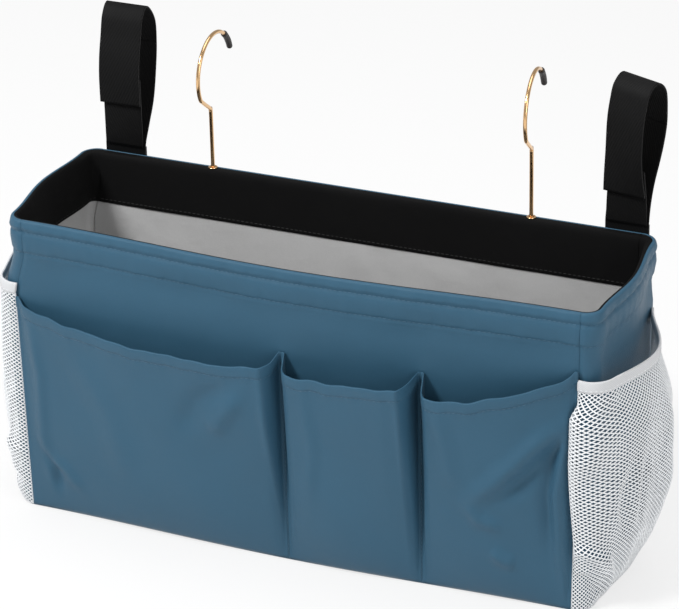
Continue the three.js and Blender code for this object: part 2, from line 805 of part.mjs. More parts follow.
function addStraps() {
  for (const strap of straps) {
    const place = [hangerShift + (strap.side * strapSpacing) / 2, bodyDepth / 2, bodyHeight];
    const { rising, falling } = loopLines(strap);
    const anchor = drawnOut(anchorShape(), strapWidth);
    const tongueWidth = strapWidth - 2 * tongueInset;
    const tapeWidth = strapWidth - 2 * tapeInset;
    const tapeTop = strap.tongueTop - clearance;
    const hookTapeFoot = strap.flapFoot - hookTapeLead;
    const tongue = uprightStrip(tongueFront, strapFoot, strap.tongueTop, webbingThickness, tongueWidth);
    const hookTape = uprightStrip(hookTapeFront, hookTapeFoot, tapeTop, tapeThickness, tapeWidth);
    const loopTape = uprightStrip(loopTapeFront, strap.flapFoot, tapeTop, tapeThickness, tapeWidth);
    const rear = ribbon(trimmed(rising), webbingThickness, strapWidth);
    const flap = ribbon(trimmed(falling), webbingThickness, strapWidth);
    add(`${strap.prefix}_strap_anchor`, anchor, "webbing", place);
    add(`${strap.prefix}_strap`, twisted(rear, strap.twist), "webbing", place);
    add(`${strap.prefix}_strap_tongue`, twisted(tongue, strap.twist), "webbing", place);
    add(`${strap.prefix}_hook_tape`, twisted(hookTape, strap.twist), "tape", place);
    add(`${strap.prefix}_strap_flap`, twisted(flap, strap.twist), "webbing", place);
    add(`${strap.prefix}_loop_tape`, twisted(loopTape, strap.twist), "tape", place);
  }
}

addShell();
addCore();
addLining();
addFrontPockets();
addNetPockets();
addBatten();
addHooks();
addStraps();

export default caddy;
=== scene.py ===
# %% [markdown]
# # A hanging bedside caddy
# The caddy is a padded cloth box that hangs from a bed rail. Three pleated pockets stand off its front,
# a net pocket stands off each end, and two webbing straps and two wire hooks rise from its back rim.
# The CAD model gives every size. This lesson dresses it: each cloth piece starts as a flat grid, as a
# cut piece of cloth does, and is then laid on the same surfaces as the CAD model.

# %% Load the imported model
from math import cos, dist, exp, hypot, pi, radians, sin, sqrt

import bmesh
import bpy
from mathutils import Matrix, Vector


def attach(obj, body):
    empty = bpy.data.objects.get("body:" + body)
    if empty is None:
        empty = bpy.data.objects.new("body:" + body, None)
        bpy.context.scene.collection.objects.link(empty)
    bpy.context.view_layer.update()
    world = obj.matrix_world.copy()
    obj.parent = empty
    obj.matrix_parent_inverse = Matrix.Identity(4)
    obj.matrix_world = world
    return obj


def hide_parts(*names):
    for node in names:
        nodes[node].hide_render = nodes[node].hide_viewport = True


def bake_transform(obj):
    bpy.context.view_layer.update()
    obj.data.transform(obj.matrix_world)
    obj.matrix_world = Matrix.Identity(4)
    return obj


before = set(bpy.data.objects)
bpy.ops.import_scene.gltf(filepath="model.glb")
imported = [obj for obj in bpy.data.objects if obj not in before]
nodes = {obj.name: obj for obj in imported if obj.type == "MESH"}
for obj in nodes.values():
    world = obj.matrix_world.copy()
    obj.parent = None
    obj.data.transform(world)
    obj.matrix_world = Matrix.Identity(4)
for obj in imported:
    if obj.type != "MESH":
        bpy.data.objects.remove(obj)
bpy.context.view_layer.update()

# %% [markdown]
# ## The camera
# A long lens looks from the front right and well above. Its place comes from a fit to the rim, the seams
# and the base line, written as three angles, a distance and a target.

# %% Camera
AZIMUTH, ELEVATION, ROLL = (radians(angle) for angle in (23.122, 26.758, -1.276))
TARGET, DISTANCE = Vector((0.005942, 0, 0.162899)), 2.365262
LENS, SENSOR_WIDTH = 186.69, 36


def add_object(name, data):
    made = bpy.data.objects.new(name, data)
    bpy.context.scene.collection.objects.link(made)
    return made


def place_camera():
    back = Vector((
        sin(AZIMUTH) * cos(ELEVATION),
        -cos(AZIMUTH) * cos(ELEVATION),
        sin(ELEVATION),
    ))
    right = Vector((cos(AZIMUTH), sin(AZIMUTH), 0))
    up = back.cross(right)
    turned_right = right * cos(ROLL) + up * sin(ROLL)
    turned_up = up * cos(ROLL) - right * sin(ROLL)
    data = bpy.data.cameras.new("camera")
    data.lens = LENS
    data.sensor_width = SENSOR_WIDTH
    camera = add_object("camera", data)
    axes = Matrix((turned_right, turned_up, back)).transposed().to_4x4()
    camera.matrix_world = Matrix.Translation(TARGET + back * DISTANCE) @ axes
    bpy.context.scene.camera = camera
    print("camera stands at", [round(c, 3) for c in camera.matrix_world.translation])


place_camera()

# %% [markdown]
# ## Node helpers
# Materials are node trees. These helpers keep them short: one fills a node's inputs, one adds a node,
# one adds a sum or a product, and two start a material or a group that several materials share.

# %% Node helpers
FLOAT, COLOUR, VECTOR = "NodeSocketFloat", "NodeSocketColor", "NodeSocketVector"


def fill_inputs(node, inputs):
    """Link each input that is given a socket, and set each that is given a value."""
    for key, value in inputs.items():
        if isinstance(value, bpy.types.NodeSocket):
            node.id_data.links.new(value, node.inputs[key])
        else:
            node.inputs[key].default_value = value


def add_node(tree, kind, inputs, **settings):
    """The outputs of a new node."""
    node = tree.nodes.new(kind)
    for key, value in settings.items():
        setattr(node, key, value)
    fill_inputs(node, inputs)
    return node.outputs


def calculate(tree, operation, *values):
    return add_node(tree, "ShaderNodeMath", dict(enumerate(values)), operation=operation)[0]


def scaled(tree, vector, factor):
    return add_node(tree, "ShaderNodeVectorMath", {0: vector, "Scale": factor}, operation="SCALE")[0]


def noise(tree, vector, scale, detail):
    return add_node(tree, "ShaderNodeTexNoise", {"Vector": vector, "Scale": scale, "Detail": detail})[0]


def ranged(tree, value, low, high, to_low, to_high):
    return add_node(tree, "ShaderNodeMapRange", {0: value, 1: low, 2: high, 3: to_low, 4: to_high})[0]


def new_group(name, inputs, outputs):
    tree = bpy.data.node_groups.new(name, "ShaderNodeTree")
    for in_out, sockets in (("INPUT", inputs), ("OUTPUT", outputs)):
        for label, kind in sockets.items():
            tree.interface.new_socket(label, in_out=in_out, socket_type=kind)
    return tree, tree.nodes.new("NodeGroupInput").outputs, tree.nodes.new("NodeGroupOutput")


def new_material(name):
    made = bpy.data.materials.new(name)
    made.use_nodes = True
    return made, made.node_tree, made.node_tree.nodes["Principled BSDF"]


# %% [markdown]
# ## Weave
# In a plain weave, warp and weft pass over and under each other like a chessboard of small humps. A
# twill shifts each row by one thread, which draws diagonal lines. Two sine waves multiplied give the
# plain weave, and one sine wave of both directions' sum gives the twill. The coordinates are the
# cloth's own, in metres, so the threads follow every fold.

# %% Weave group
TWILL_SLOPE, PLAIN_IN_TWILL = 0.5, 0.35
# The weave's Shade scales the colour: darker in the gaps between threads, a painted shade, and lighter on the
# humps, a painted highlight.
PAINTED_GAP_SHADE, PAINTED_HUMP_HIGHLIGHT = 0.86, 1.08


def make_weave_group():
    tree, given, result = new_group(
        "weave",
        {"Vector": VECTOR, "Threads per metre": FLOAT, "Twill": FLOAT},
        {"Height": FLOAT, "Shade": FLOAT},
    )
    threads = scaled(tree, given["Vector"], given["Threads per metre"])
    x, y, _ = add_node(tree, "ShaderNodeSeparateXYZ", {0: threads})
    warp, weft = (calculate(tree, "SINE", calculate(tree, "MULTIPLY", run, pi)) for run in (x, y))
    plain = calculate(tree, "MULTIPLY", warp, weft)
    slant = calculate(tree, "ADD", x, calculate(tree, "MULTIPLY", y, TWILL_SLOPE))
    diagonal = calculate(tree, "SINE", calculate(tree, "MULTIPLY", slant, pi / 2))
    twilled = calculate(tree, "ADD", diagonal, calculate(tree, "MULTIPLY", plain, PLAIN_IN_TWILL))
    humps = add_node(tree, "ShaderNodeMix", {0: given["Twill"], 2: plain, 3: twilled})[0]
    height = calculate(tree, "MULTIPLY_ADD", humps, 0.5, 0.5)
    shade = ranged(tree, height, 0.0, 1.0, PAINTED_GAP_SHADE, PAINTED_HUMP_HIGHLIGHT)
    fill_inputs(result, {"Height": height, "Shade": shade})
    return tree


weave = make_weave_group()
print("weave group has", len(weave.nodes), "nodes")

# %% [markdown]
# ## Mottle
# No dyed cloth is one flat colour. A broad soft noise shifts the tone a little from hand to hand, and
# a fine one breaks up single threads.

# %% Mottle group
def make_mottle_group():
    tree, given, result = new_group(
        "mottle",
        {"Vector": VECTOR, "Colour": COLOUR, "Broad": FLOAT, "Fine": FLOAT},
        {"Colour": COLOUR, "Patches": FLOAT},
    )
    broad, fine = noise(tree, given["Vector"], 14.0, 3.0), noise(tree, given["Vector"], 900.0, 2.0)
    broad_shift, fine_shift = (
        calculate(tree, "MULTIPLY", calculate(tree, "SUBTRACT", patches, 0.5), given[strength])
        for patches, strength in ((broad, "Broad"), (fine, "Fine"))
    )
    gain = calculate(tree, "ADD", calculate(tree, "ADD", broad_shift, fine_shift), 1.0)
    fill_inputs(result, {"Colour": scaled(tree, given["Colour"], gain), "Patches": broad})
    return tree


mottle = make_mottle_group()
print("mottle group has", len(mottle.nodes), "nodes")


def mottled(tree, place, colour, broad, fine):
    inputs = {"Vector": place, "Colour": (*colour, 1), "Broad": broad, "Fine": fine}
    return add_node(tree, "ShaderNodeGroup", inputs, node_tree=mottle)


# %% [markdown]
# ## Cloth finishes
# One function makes every cloth of the caddy. What differs is the colour, the thread count, plain or
# twill, how far the threads stand out, how much the cloth shines, and how much fine creasing it has.

# %% Cloth material
NOISE_LOW, NOISE_HIGH = 0.3, 0.7
CREASE_SCALE, CREASE_DEPTH, THREAD_DEPTH = 45.0, 0.002, 0.0002
ROUGHNESS_SPREAD, SHEEN_ROUGHNESS = 0.06, 0.45


def cloth_material(
    name, colour, threads, relief, roughness, sheen, twill=0.0, broad=0.12, fine=0.12, crease=0.25, gloss=0.16
):
    made, tree, shader = new_material(name)
    place = add_node(tree, "ShaderNodeTexCoord", {})
    inputs = {"Vector": place["UV"], "Threads per metre": threads, "Twill": twill}
    woven = add_node(tree, "ShaderNodeGroup", inputs, node_tree=weave)
    tone = mottled(tree, place["Object"], colour, broad, fine)
    creases = noise(tree, place["Object"], CREASE_SCALE, 3.0)
    inputs = {"Height": creases, "Strength": crease, "Distance": CREASE_DEPTH}
    soft = add_node(tree, "ShaderNodeBump", inputs)[0]
    inputs = {"Height": woven["Height"], "Strength": relief, "Distance": THREAD_DEPTH, "Normal": soft}
    low, high = roughness - ROUGHNESS_SPREAD, roughness + ROUGHNESS_SPREAD
    fill_inputs(shader, {
        # The base colour carries the weave's painted shade in the thread gaps and painted highlight on the
        # humps.
        "Base Color": scaled(tree, tone["Colour"], woven["Shade"]),
        "Normal": add_node(tree, "ShaderNodeBump", inputs)[0],
        "Roughness": ranged(tree, tone["Patches"], NOISE_LOW, NOISE_HIGH, low, high),
        "Sheen Weight": sheen,
        "Sheen Roughness": SHEEN_ROUGHNESS,
        "Specular IOR Level": gloss,
    })
    return made


oxford = cloth_material(
    "oxford cloth", (0.0325, 0.0985, 0.16), 2400, 0.5, 0.45, 0.03, broad=0.2, crease=0.3, gloss=0.22
)
lining_cloth = cloth_material("grey lining", (0.5, 0.5, 0.5), 3200, 0.3, 0.5, 0.02, crease=0.45)
facing_cloth = cloth_material("black facing", (0.0022, 0.0022, 0.0024), 1800, 0.6, 0.85, 0.0, crease=0.4)
net_yarn = cloth_material("white net", (0.86, 0.88, 0.9), 4200, 0.35, 0.6, 0.1, crease=0.1)
elastic_cloth = cloth_material("white elastic", (0.62, 0.63, 0.645), 1300, 0.5, 0.7, 0.03)
webbing_cloth = cloth_material(
    "black webbing", (0.0019, 0.0019, 0.0021), 1900, 0.6, 0.66, 0.0, twill=1.0, fine=0.25
)
tape_cloth = cloth_material("hook and loop tape", (0.0016, 0.0016, 0.0018), 1400, 1.0, 0.9, 0.01, fine=0.4)
print("cloths:", [m.name for m in bpy.data.materials])

# %% [markdown]
# ## Metal, rubber and board
# The hooks are bent from wire with a bright rose gold plate, whose fine grain shows only as small changes
# of gloss. The tips are soft dark rubber. The boards and the batten inside the walls are moulded sheet
# with a pebbled skin.

# %% Hard finishes
GRAIN_DEPTH = 0.0003


def hard_material(name, colour, metallic, roughness, spread, relief, scale, stretch=(1, 1, 1), coat=0.0):
    made, tree, shader = new_material(name)
    place = add_node(tree, "ShaderNodeTexCoord", {})["Object"]
    stretched = add_node(tree, "ShaderNodeMapping", {0: place, "Scale": stretch})[0]
    grain = noise(tree, stretched, scale, 4.0)
    inputs = {"Height": grain, "Strength": relief, "Distance": GRAIN_DEPTH}
    fill_inputs(shader, {
        "Base Color": mottled(tree, place, colour, 0.2, 0.1)["Colour"],
        "Roughness": ranged(tree, grain, NOISE_LOW, NOISE_HIGH, roughness, roughness + spread),
        "Normal": add_node(tree, "ShaderNodeBump", inputs)[0],
        "Metallic": metallic,
        "Coat Weight": coat,
    })
    return made


gold_plate = hard_material("rose gold plate", (0.83, 0.53, 0.27), 1.0, 0.12, 0.1, 0.06, 700, (1, 1, 6), 0.2)
tip_rubber = hard_material("dark rubber", (0.024, 0.02, 0.019), 0.0, 0.38, 0.2, 0.3, 1500)
board_sheet = hard_material("moulded board", (0.05, 0.055, 0.06), 0.0, 0.45, 0.2, 0.5, 1100)
foam_sheet = hard_material("foam sheet", (0.8, 0.79, 0.74), 0.0, 0.85, 0.1, 1.0, 1600)
blue_thread = hard_material("blue thread", (0.05, 0.12, 0.185), 0.0, 0.45, 0.1, 0.5, 2600)
black_thread = hard_material("black thread", (0.012, 0.012, 0.012), 0.0, 0.5, 0.1, 0.5, 2600)
white_thread = hard_material("white thread", (0.8, 0.82, 0.84), 0.0, 0.5, 0.1, 0.5, 2600)
print("cloths and hard finishes together:", len(bpy.data.materials))

# %% [markdown]
# ## The caddy's surfaces
# The body is four walls. Each is a surface that is asked for a point by two numbers, the share of its run
# and the height. The CAD model's surfaces are written here again, in millimetres, so that every cloth
# piece lies where its CAD solid lies.

# %% Body surfaces
MM = 0.001
RIM_WIDTH, BASE_WIDTH, DEPTH, HEIGHT, CORNER = 420, 412, 126, 220, 12
# The straight part of an end, between its two rounded corners.
STRAIGHT = DEPTH - 2 * CORNER
RIM_BOW, BASE_BOW, END_BOW = 9, 5.5, 5
LEFT_SWELL, SWELL_FOOT, SWELL_TOP, SWELL_ROUNDNESS = 8, 164.7, 198, 0.6
CLEARANCE, SHELL, CORE, LINING, FACING = 0.3, 0.8, 5, 0.5, 0.7


def lerp(a, b, share):
    return a + (b - a) * share


def clamp(value, low=0.0, high=1.0):
    return max(low, min(high, value))


def smoothstep(value, low, high):
    share = clamp((value - low) / (high - low))
    return share * share * (3 - 2 * share)


def hill(distance, width):
    return exp(-((distance / width) ** 2))


def crease(x, z, folds):
    """The height of drawn folds at a point. Each fold is a line of points, a width and a height."""
    total = 0.0
    for points, width, height in folds:
        nearest, place = 1e9, 0.0
        for i, ((x0, z0), (x1, z1)) in enumerate(zip(points, points[1:])):
            across, up = x1 - x0, z1 - z0
            share = clamp(((x - x0) * across + (z - z0) * up) / (across**2 + up**2))
            gap = hypot(x - x0 - across * share, z - z0 - up * share)
            if gap < nearest:
                nearest, place = gap, (i + share) / (len(points) - 1)
        total += height * hill(nearest, width) * smoothstep(min(place, 1 - place), -0.12, 0.3)
    return total


def bowed(share):
    """A bow along a wall: nothing at its two ends and 1 in its middle."""
    return (1 - cos(2 * pi * share)) / 2


def half_width(z):
    return lerp(BASE_WIDTH, RIM_WIDTH, z / HEIGHT) / 2


def swell(z):
    """How far the left end stands out at a height: all of it at its net, and nothing near the rim."""
    share = clamp((SWELL_TOP - z) / (SWELL_TOP - SWELL_FOOT))
    return LEFT_SWELL * lerp(share, smoothstep(share, 0, 1), SWELL_ROUNDNESS)


def across_body(share, z):
    half = half_width(z) - CORNER
    return (2 * share - 1) * half - (1 - share) * swell(z)


def front_bow(share, z):
    return lerp(BASE_BOW, RIM_BOW, z / HEIGHT) * bowed(share)


def front(share, z):
    return Vector((across_body(share, z), -DEPTH / 2 - front_bow(share, z), z)), Vector((0, -1, 0))


def back(share, z):
    return Vector((across_body(share, z), DEPTH / 2, z)), Vector((0, 1, 0))


def end(side, share, z):
    arc = CORNER * pi / 2
    run = share * (STRAIGHT + 2 * arc)
    turn = min(run, arc) / CORNER + max(run - arc - STRAIGHT, 0) / CORNER
    along = clamp((run - arc) / STRAIGHT)
    normal = Vector((sin(turn), -cos(turn), 0))
    bow = END_BOW * bowed(along)
    x = half_width(z) - CORNER + CORNER * normal.x + bow + (swell(z) if side < 0 else 0)
    y = (along - 0.5) * STRAIGHT + CORNER * normal.y
    return Vector((side * x, y, z)), Vector((side * normal.x, normal.y, 0))


def left_end(share, z):
    return end(-1, share, z)


def right_end(share, z):
    return end(1, share, z)


def on_wall(wall, share, stand_off, z):
    """A point that stands off a wall's outside, or lies inside it where stand_off is negative."""
    point, normal = wall(share, z)
    return point + normal * stand_off


print("front wall's middle at the rim:", [round(c, 1) for c in front(0.5, HEIGHT)[0]])

# %% [markdown]
# ## From a flat grid to a cloth piece
# The grid operator makes a flat square of faces. Each vertex then takes its place from two tables, one
# across and one up, so rows are close together where the cloth is stitched and wide apart where it is
# smooth. The UV map keeps the real lengths in metres, so the weave has the right size on every piece.

# %% Grid helpers
NEAR_DOUBLE = 0.45


def evenly(count, low=0.0, high=1.0):
    return [lerp(low, high, step / count) for step in range(count + 1)]


def closer_at(values, places, spread, extra):
    """The table with extra values close to each place, in order and without near doubles."""
    more = [place + spread * step / extra for place in places for step in range(-extra, extra + 1)]
    kept = []
    for value in sorted(values + [m for m in more if values[0] < m < values[-1]]):
        if not kept or value - kept[-1] > spread / extra * NEAR_DOUBLE:
            kept.append(value)
    kept[-1] = values[-1]
    return kept


def running_lengths(points, distance=dist):
    lengths = [0.0]
    for before, after in zip(points, points[1:]):
        lengths.append(lengths[-1] + distance(before, after))
    return lengths


def real_lengths(points):
    """Running lengths in metres along points given in millimetres."""
    return running_lengths(points, lambda before, after: (after - before).length * MM)


def laid_grid(across, up, place):
    """A grid whose vertices are put in place by a function of the two tables' values, in millimetres."""
    bm = bmesh.new()
    columns, rows = len(across) - 1, len(up) - 1
    bmesh.ops.create_grid(bm, x_segments=columns, y_segments=rows, size=0.5)
    cell = {v: (round((v.co.x + 0.5) * columns), round((v.co.y + 0.5) * rows)) for v in bm.verts}
    widths = real_lengths([place(a, up[rows // 2]) for a in across])
    heights = real_lengths([place(across[columns // 2], u) for u in up])
    layer = bm.loops.layers.uv.new("cloth")
    for face in bm.faces:
        for loop in face.loops:
            column, row = cell[loop.vert]
            loop[layer].uv = (widths[column], heights[row])
    for vert, (column, row) in cell.items():
        vert.co = place(across[column], up[row]) * MM
    return bm, (widths[-1], heights[-1])


def finished(name, bm, material, body="caddy"):
    mesh = bpy.data.meshes.new(name)
    bm.to_mesh(mesh)
    bm.free()
    mesh.polygons.foreach_set("use_smooth", [True] * len(mesh.polygons))
    mesh.materials.append(material)
    piece = add_object(name, mesh)
    if body:
        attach(piece, body)
    return piece


def thicken(piece, thickness):
    solid = piece.modifiers.new("thickness", "SOLIDIFY")
    solid.thickness = thickness * MM
    solid.offset = 0
    return piece


def cloth_piece(name, across, up, place, material, thickness, body="caddy"):
    bm, size = laid_grid(across, up, place)
    piece = thicken(finished(name, bm, material, body), thickness)
    print(f"{name}: {size[0] * 1000:.0f} x {size[1] * 1000:.0f} mm flat")
    return piece, size


def stand_for(piece, node):
    """Hide the CAD node that a piece replaces."""
    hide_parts(node)
    return piece


# %% [markdown]
# ## Smooth curves through a few heights
# The walls' roll at the rim and the pockets' stand-off are given by a few points. A monotone cubic runs
# smoothly through them and never overshoots, so a flat stretch stays flat.

# %% Smooth curve
def smooth_through(table):
    xs, ys = [p[0] for p in table], [p[1] for p in table]
    steps = [(ys[i + 1] - ys[i]) / (xs[i + 1] - xs[i]) for i in range(len(xs) - 1)]
    slopes = [steps[0]]
    for before, after in zip(steps, steps[1:]):
        slopes.append(0 if before * after <= 0 else 2 * before * after / (before + after))
    slopes.append(steps[-1])

    def value(x):
        x = clamp(x, xs[0], xs[-1])
        i = max(k for k in range(len(xs) - 1) if xs[k] <= x)
        width = xs[i + 1] - xs[i]
        t = (x - xs[i]) / width
        a, b = slopes[i] * width, slopes[i + 1] * width
        return (
            ys[i] * (1 + 2 * t) * (1 - t) ** 2 + a * t * (1 - t) ** 2
            + ys[i + 1] * t * t * (3 - 2 * t) + b * t * t * (t - 1)
        )

    return value


# %% [markdown]
# ## The shell walls
# The blue shell is four panels sewn together at upright seams beside the rounded corners. Two rows of
# topstitching run round it, 8.5 and 24 mm under the rim. Thread pulls cloth in, so each row lies in a
# shallow groove and the cloth between the rows stands a little proud. Grooves in the material alone
# wouldn't catch the light at the rim, so they are in the shape.

# %% Shell walls
STITCH_ROWS = (HEIGHT - 8.5, HEIGHT - 24)
SHELL_FOOT = SHELL + CLEARANCE
SEAM_MARGIN = 0.06
ROLL, ROLL_RISE = 5, 4.6
LOOSE_FROM, LOOSE_TO = 172, 186
BACK_LOOSENESS = 0.25
RIM_FOLD = smooth_through([(0, 0.4), (0.5, 0.45), (0.75, 0.7), (0.9, 1.2), (1, 2.0)])


def pucker(run, z):
    """Small gathers that thread draws in cloth along a seam."""
    fine = 0.5 * sin(run / 1.45 + 0.6 * sin(run / 9)) + 0.6 * sin(run / 2.7 + z / 6)
    return fine + 0.5 * sin(run / 6.1) + 0.4 * sin(run / 11 + 1.3 * sin(run / 37))


def wall_relief(share, z, run):
    """How far a wall's cloth stands off its even surface, in millimetres."""
    along = share * run
    from_seam = min(along, run - along)
    rows = sum(hill(z - row, 1.4) for row in STITCH_ROWS)
    near_rows = sum(hill(z - row - 1.5, 5) for row in STITCH_ROWS)
    turned_in = smoothstep(z, STITCH_ROWS[1] - 2.5, STITCH_ROWS[1] + 1.5)
    puffed = hill(z - STITCH_ROWS[0] + 6, 4.5) + 0.8 * smoothstep(z, STITCH_ROWS[0], STITCH_ROWS[0] + 4)
    drawn = hill(z - STITCH_ROWS[1] + 7, 6)
    free = smoothstep(z, LOOSE_FROM, LOOSE_TO)
    sway = sin(along / 29 + 0.7) * sin(z / 15 + along / 80) + 0.5 * sin(along / 13 - z / 8)
    relief = 0.5 * turned_in + 0.8 * puffed - 0.7 * rows - 0.9 * drawn + 0.32 * pucker(along, z) * near_rows
    seam = 0.6 * hill(from_seam, 2.2) + 0.26 * pucker(z, along) * hill(from_seam - 2, 5)
    return free * (relief + 0.5 * sway * (1 - 0.5 * turned_in)) - seam


def within(share, run, margin=SEAM_MARGIN):
    """The share moved in from the seams by a margin at each end of the run."""
    return lerp(margin / run, 1 - margin / run, share)


def shell_place(wall, run):
    loose = BACK_LOOSENESS if wall is back else 1.0

    def place(share, level):
        over = clamp((level - (HEIGHT - ROLL)) / ROLL)
        z = level if over == 0 else HEIGHT - ROLL + ROLL_RISE * sin(over * pi / 2)
        stand = loose * wall_relief(share, z, run) * (1 - over) - RIM_FOLD(over)
        return on_wall(wall, within(share, run), stand, z)

    return place


LEVELS = closer_at(evenly(30, SHELL_FOOT, HEIGHT), [*STITCH_ROWS], 3.0, 4)
LEVELS = closer_at(LEVELS, [HEIGHT - 2.5], 2.5, 4)
FRONT_ACROSS = closer_at(evenly(230), [0.004, 0.996], 0.004, 3)
END_ACROSS = closer_at(evenly(84), [0.012, 0.988], 0.012, 3)
FRONT_RUN, END_RUN = RIM_WIDTH - 2 * CORNER, STRAIGHT + CORNER * pi
WALLS = {
    "front": (front, FRONT_RUN, FRONT_ACROSS),
    "back": (back, FRONT_RUN, FRONT_ACROSS),
    "left_end": (left_end, END_RUN, END_ACROSS),
    "right_end": (right_end, END_RUN, END_ACROSS),
}
for name, (wall, run, across) in WALLS.items():
    shell, size = cloth_piece(f"{name}_shell", across, LEVELS, shell_place(wall, run), oxford, SHELL)
    stand_for(shell, f"{name}_panel")

# %% [markdown]
# ## The underside
# The base panel closes the shell below. It has the outline of the four walls, so a square grid is
# squeezed to it: each row keeps its share of the depth, and its ends move in round the corners.

# %% Base panel
def floor_place(inset, level, relief=None):
    def place(across, up):
        y = lerp(-DEPTH / 2 + inset, DEPTH / 2 - inset, up)
        corner = max(abs(y) - (DEPTH / 2 - CORNER), 0)
        rounding = sqrt(max((CORNER - inset) ** 2 - corner**2, 0))
        half = half_width(level) - CORNER + rounding + END_BOW * bowed(clamp(y / STRAIGHT + 0.5))
        x = lerp(-half - swell(level), half, across)
        share = clamp((x - across_body(0, level)) / (across_body(1, level) - across_body(0, level)))
        rise = relief(across, up) if relief else 0
        return Vector((x, y - front_bow(share, level) * (1 - up) ** 3, level + rise))

    return place


# Both tables run close together at their ends, where the outline turns.
EDGED = [(1 - cos(pi * share)) / 2 for share in evenly(46)]
BASE_INSET, FLOOR_INSET, FLOOR_LEVEL = 0.2, 6.4, 3.65
base_shell, size = cloth_piece("base_shell", EDGED, EDGED, floor_place(BASE_INSET, SHELL / 2), oxford, SHELL)
stand_for(base_shell, "base_panel")

# %% [markdown]
# ## Facing and lining
# Inside the rim a black band, the facing, is sewn to the shell at the edge and rolls over the padding.
# Along the back the rim stays broad, because the hooks' eyelets sit there. The pale lining hangs below
# it and lies against the foam, with the faint creases of thin cloth that is a little too large.

# %% Facing
# The rim's profiles, as points of inset and height.
THIN_RIM = [
    (1.95, 219.25), (2.5, 219.55), (3.3, 219.3), (4.3, 217.8),
    (5.5, 214), (6.6, 207), (7.3, 198), (7.55, 182),
]
BROAD_RIM = [
    (1.95, 219.25), (2.6, 219.6), (4, 219.65), (6, 219.5),
    (6.9, 218.4), (7.4, 215), (7.55, 205), (7.55, 182),
]


def rim_profile(points):
    lengths = running_lengths(points)
    return [smooth_through([(s / lengths[-1], p[k]) for s, p in zip(lengths, points)]) for k in (0, 1)]


THIN, BROAD = rim_profile(THIN_RIM), rim_profile(BROAD_RIM)


def facing_place(wall, run, broadness):
    def place(share, down):
        inset, level = (lerp(thin(down), broad(down), broadness(share)) for thin, broad in zip(THIN, BROAD))
        loose = smoothstep(down, 0.45, 0.9) * 0.5 * sin(share * run / 14 + 1.3) * sin(share * run / 37)
        return on_wall(wall, within(share, run), -inset + 0.25 * loose - 0.1 * abs(loose), level)

    return place


def only_at_back(share):
    return smoothstep(share, 0.72, 0.97)


BROADNESS = {
    "front": lambda share: 0.0,
    "back": lambda share: 1.0,
    "left_end": only_at_back,
    "right_end": only_at_back,
}
DOWN = closer_at(evenly(26), [0.06], 0.06, 5)
for name, (wall, run, across) in WALLS.items():
    place = facing_place(wall, run, BROADNESS[name])
    facing, size = cloth_piece(f"{name}_facing_band", across, DOWN, place, facing_cloth, FACING)
    stand_for(facing, f"{name}_facing")

# %% Lining
LINING_FOOT, LINING_TOP, LINING_INSET, LINING_MARGIN = 4.2, 197, 6.65, 0.3


def lining_place(wall, run):
    def place(share, level):
        along = share * run
        edge = min(share, 1 - share) * run
        quiet = smoothstep(edge, 2, 14) * smoothstep(level, 6, 30) * (1 - smoothstep(level, 165, 190))
        billow = 1.1 * sin(along / 23 + level / 60) * sin(level / 29 + share * 3) ** 2
        small = 0.5 * sin((along + level * 0.7) / 7.5) * sin(level / 41 + along / 55) ** 4
        inset = LINING_INSET + quiet * abs(billow + small)
        return on_wall(wall, within(share, run, LINING_MARGIN), -inset, level)

    return place


def floor_billow(across, up):
    quiet = smoothstep(min(across, 1 - across), 0.01, 0.08) * smoothstep(min(up, 1 - up), 0.02, 0.2)
    return quiet * 0.5 * abs(sin(across * 19 + up * 3) * sin(up * 7 + across * 5))


LINING_LEVELS = evenly(54, LINING_FOOT, LINING_TOP)
for name, (wall, run, across) in WALLS.items():
    place = lining_place(wall, run)
    bag, size = cloth_piece(f"{name}_lining_cloth", across, LINING_LEVELS, place, lining_cloth, LINING)
    stand_for(bag, f"{name}_lining")

place = floor_place(FLOOR_INSET, FLOOR_LEVEL, floor_billow)
base_lining_cloth, size = cloth_piece("base_lining_cloth", EDGED, EDGED, place, lining_cloth, LINING)
stand_for(base_lining_cloth, "base_lining")

# %% [markdown]
# ## What is inside the walls
# Foam sheet fills the walls, and stiff boards lie in the base and behind the back's foam. None of it
# shows while the caddy is whole. The boards, the batten and the washers keep their CAD shape and get
# their finish.

# %% Foam and boards
FOAM_FOOT, FOAM_MARGIN = 3.6, 0.2
# For each pad its middle's inset, its thickness and its top.
FOAM = {
    "front": (4.1, CORE - 1, 206),
    "back": (4.55, 3.1, 198.1),
    "left_end": (4.1, CORE - 1, 206),
    "right_end": (4.1, CORE - 1, 206),
}
for name, (inset, thickness, top) in FOAM.items():
    wall, run, across = WALLS[name]

    def foam_place(share, level, wall=wall, run=run, inset=inset):
        return on_wall(wall, within(share, run, FOAM_MARGIN), -inset, level)

    levels = evenly(30, FOAM_FOOT, top - FOAM_MARGIN)
    pad, _ = cloth_piece(f"{name}_foam_pad", across, levels, foam_place, foam_sheet, thickness)
    stand_for(pad, f"{name}_foam")

FINISHES = {
    "back_board": board_sheet,
    "base_board": board_sheet,
    "hook_batten": board_sheet,
    "left_hook_washer": gold_plate,
    "right_hook_washer": gold_plate,
}
for name, finish in FINISHES.items():
    nodes[name].data.materials.clear()
    nodes[name].data.materials.append(finish)
print("CAD pieces with a new finish:", sorted(FINISHES))

# %% [markdown]
# ## The front pockets
# The three pockets are one band of cloth. It is sewn down to the wall at two upright seams, and a pleat
# on each side of a seam lets every pocket stand off the wall, most at its hem and not at all at its
# foot. The top edge is turned in by 8 mm and stitched. The grid follows that path: up the outside,
# round the fold and down the inside of the hem.

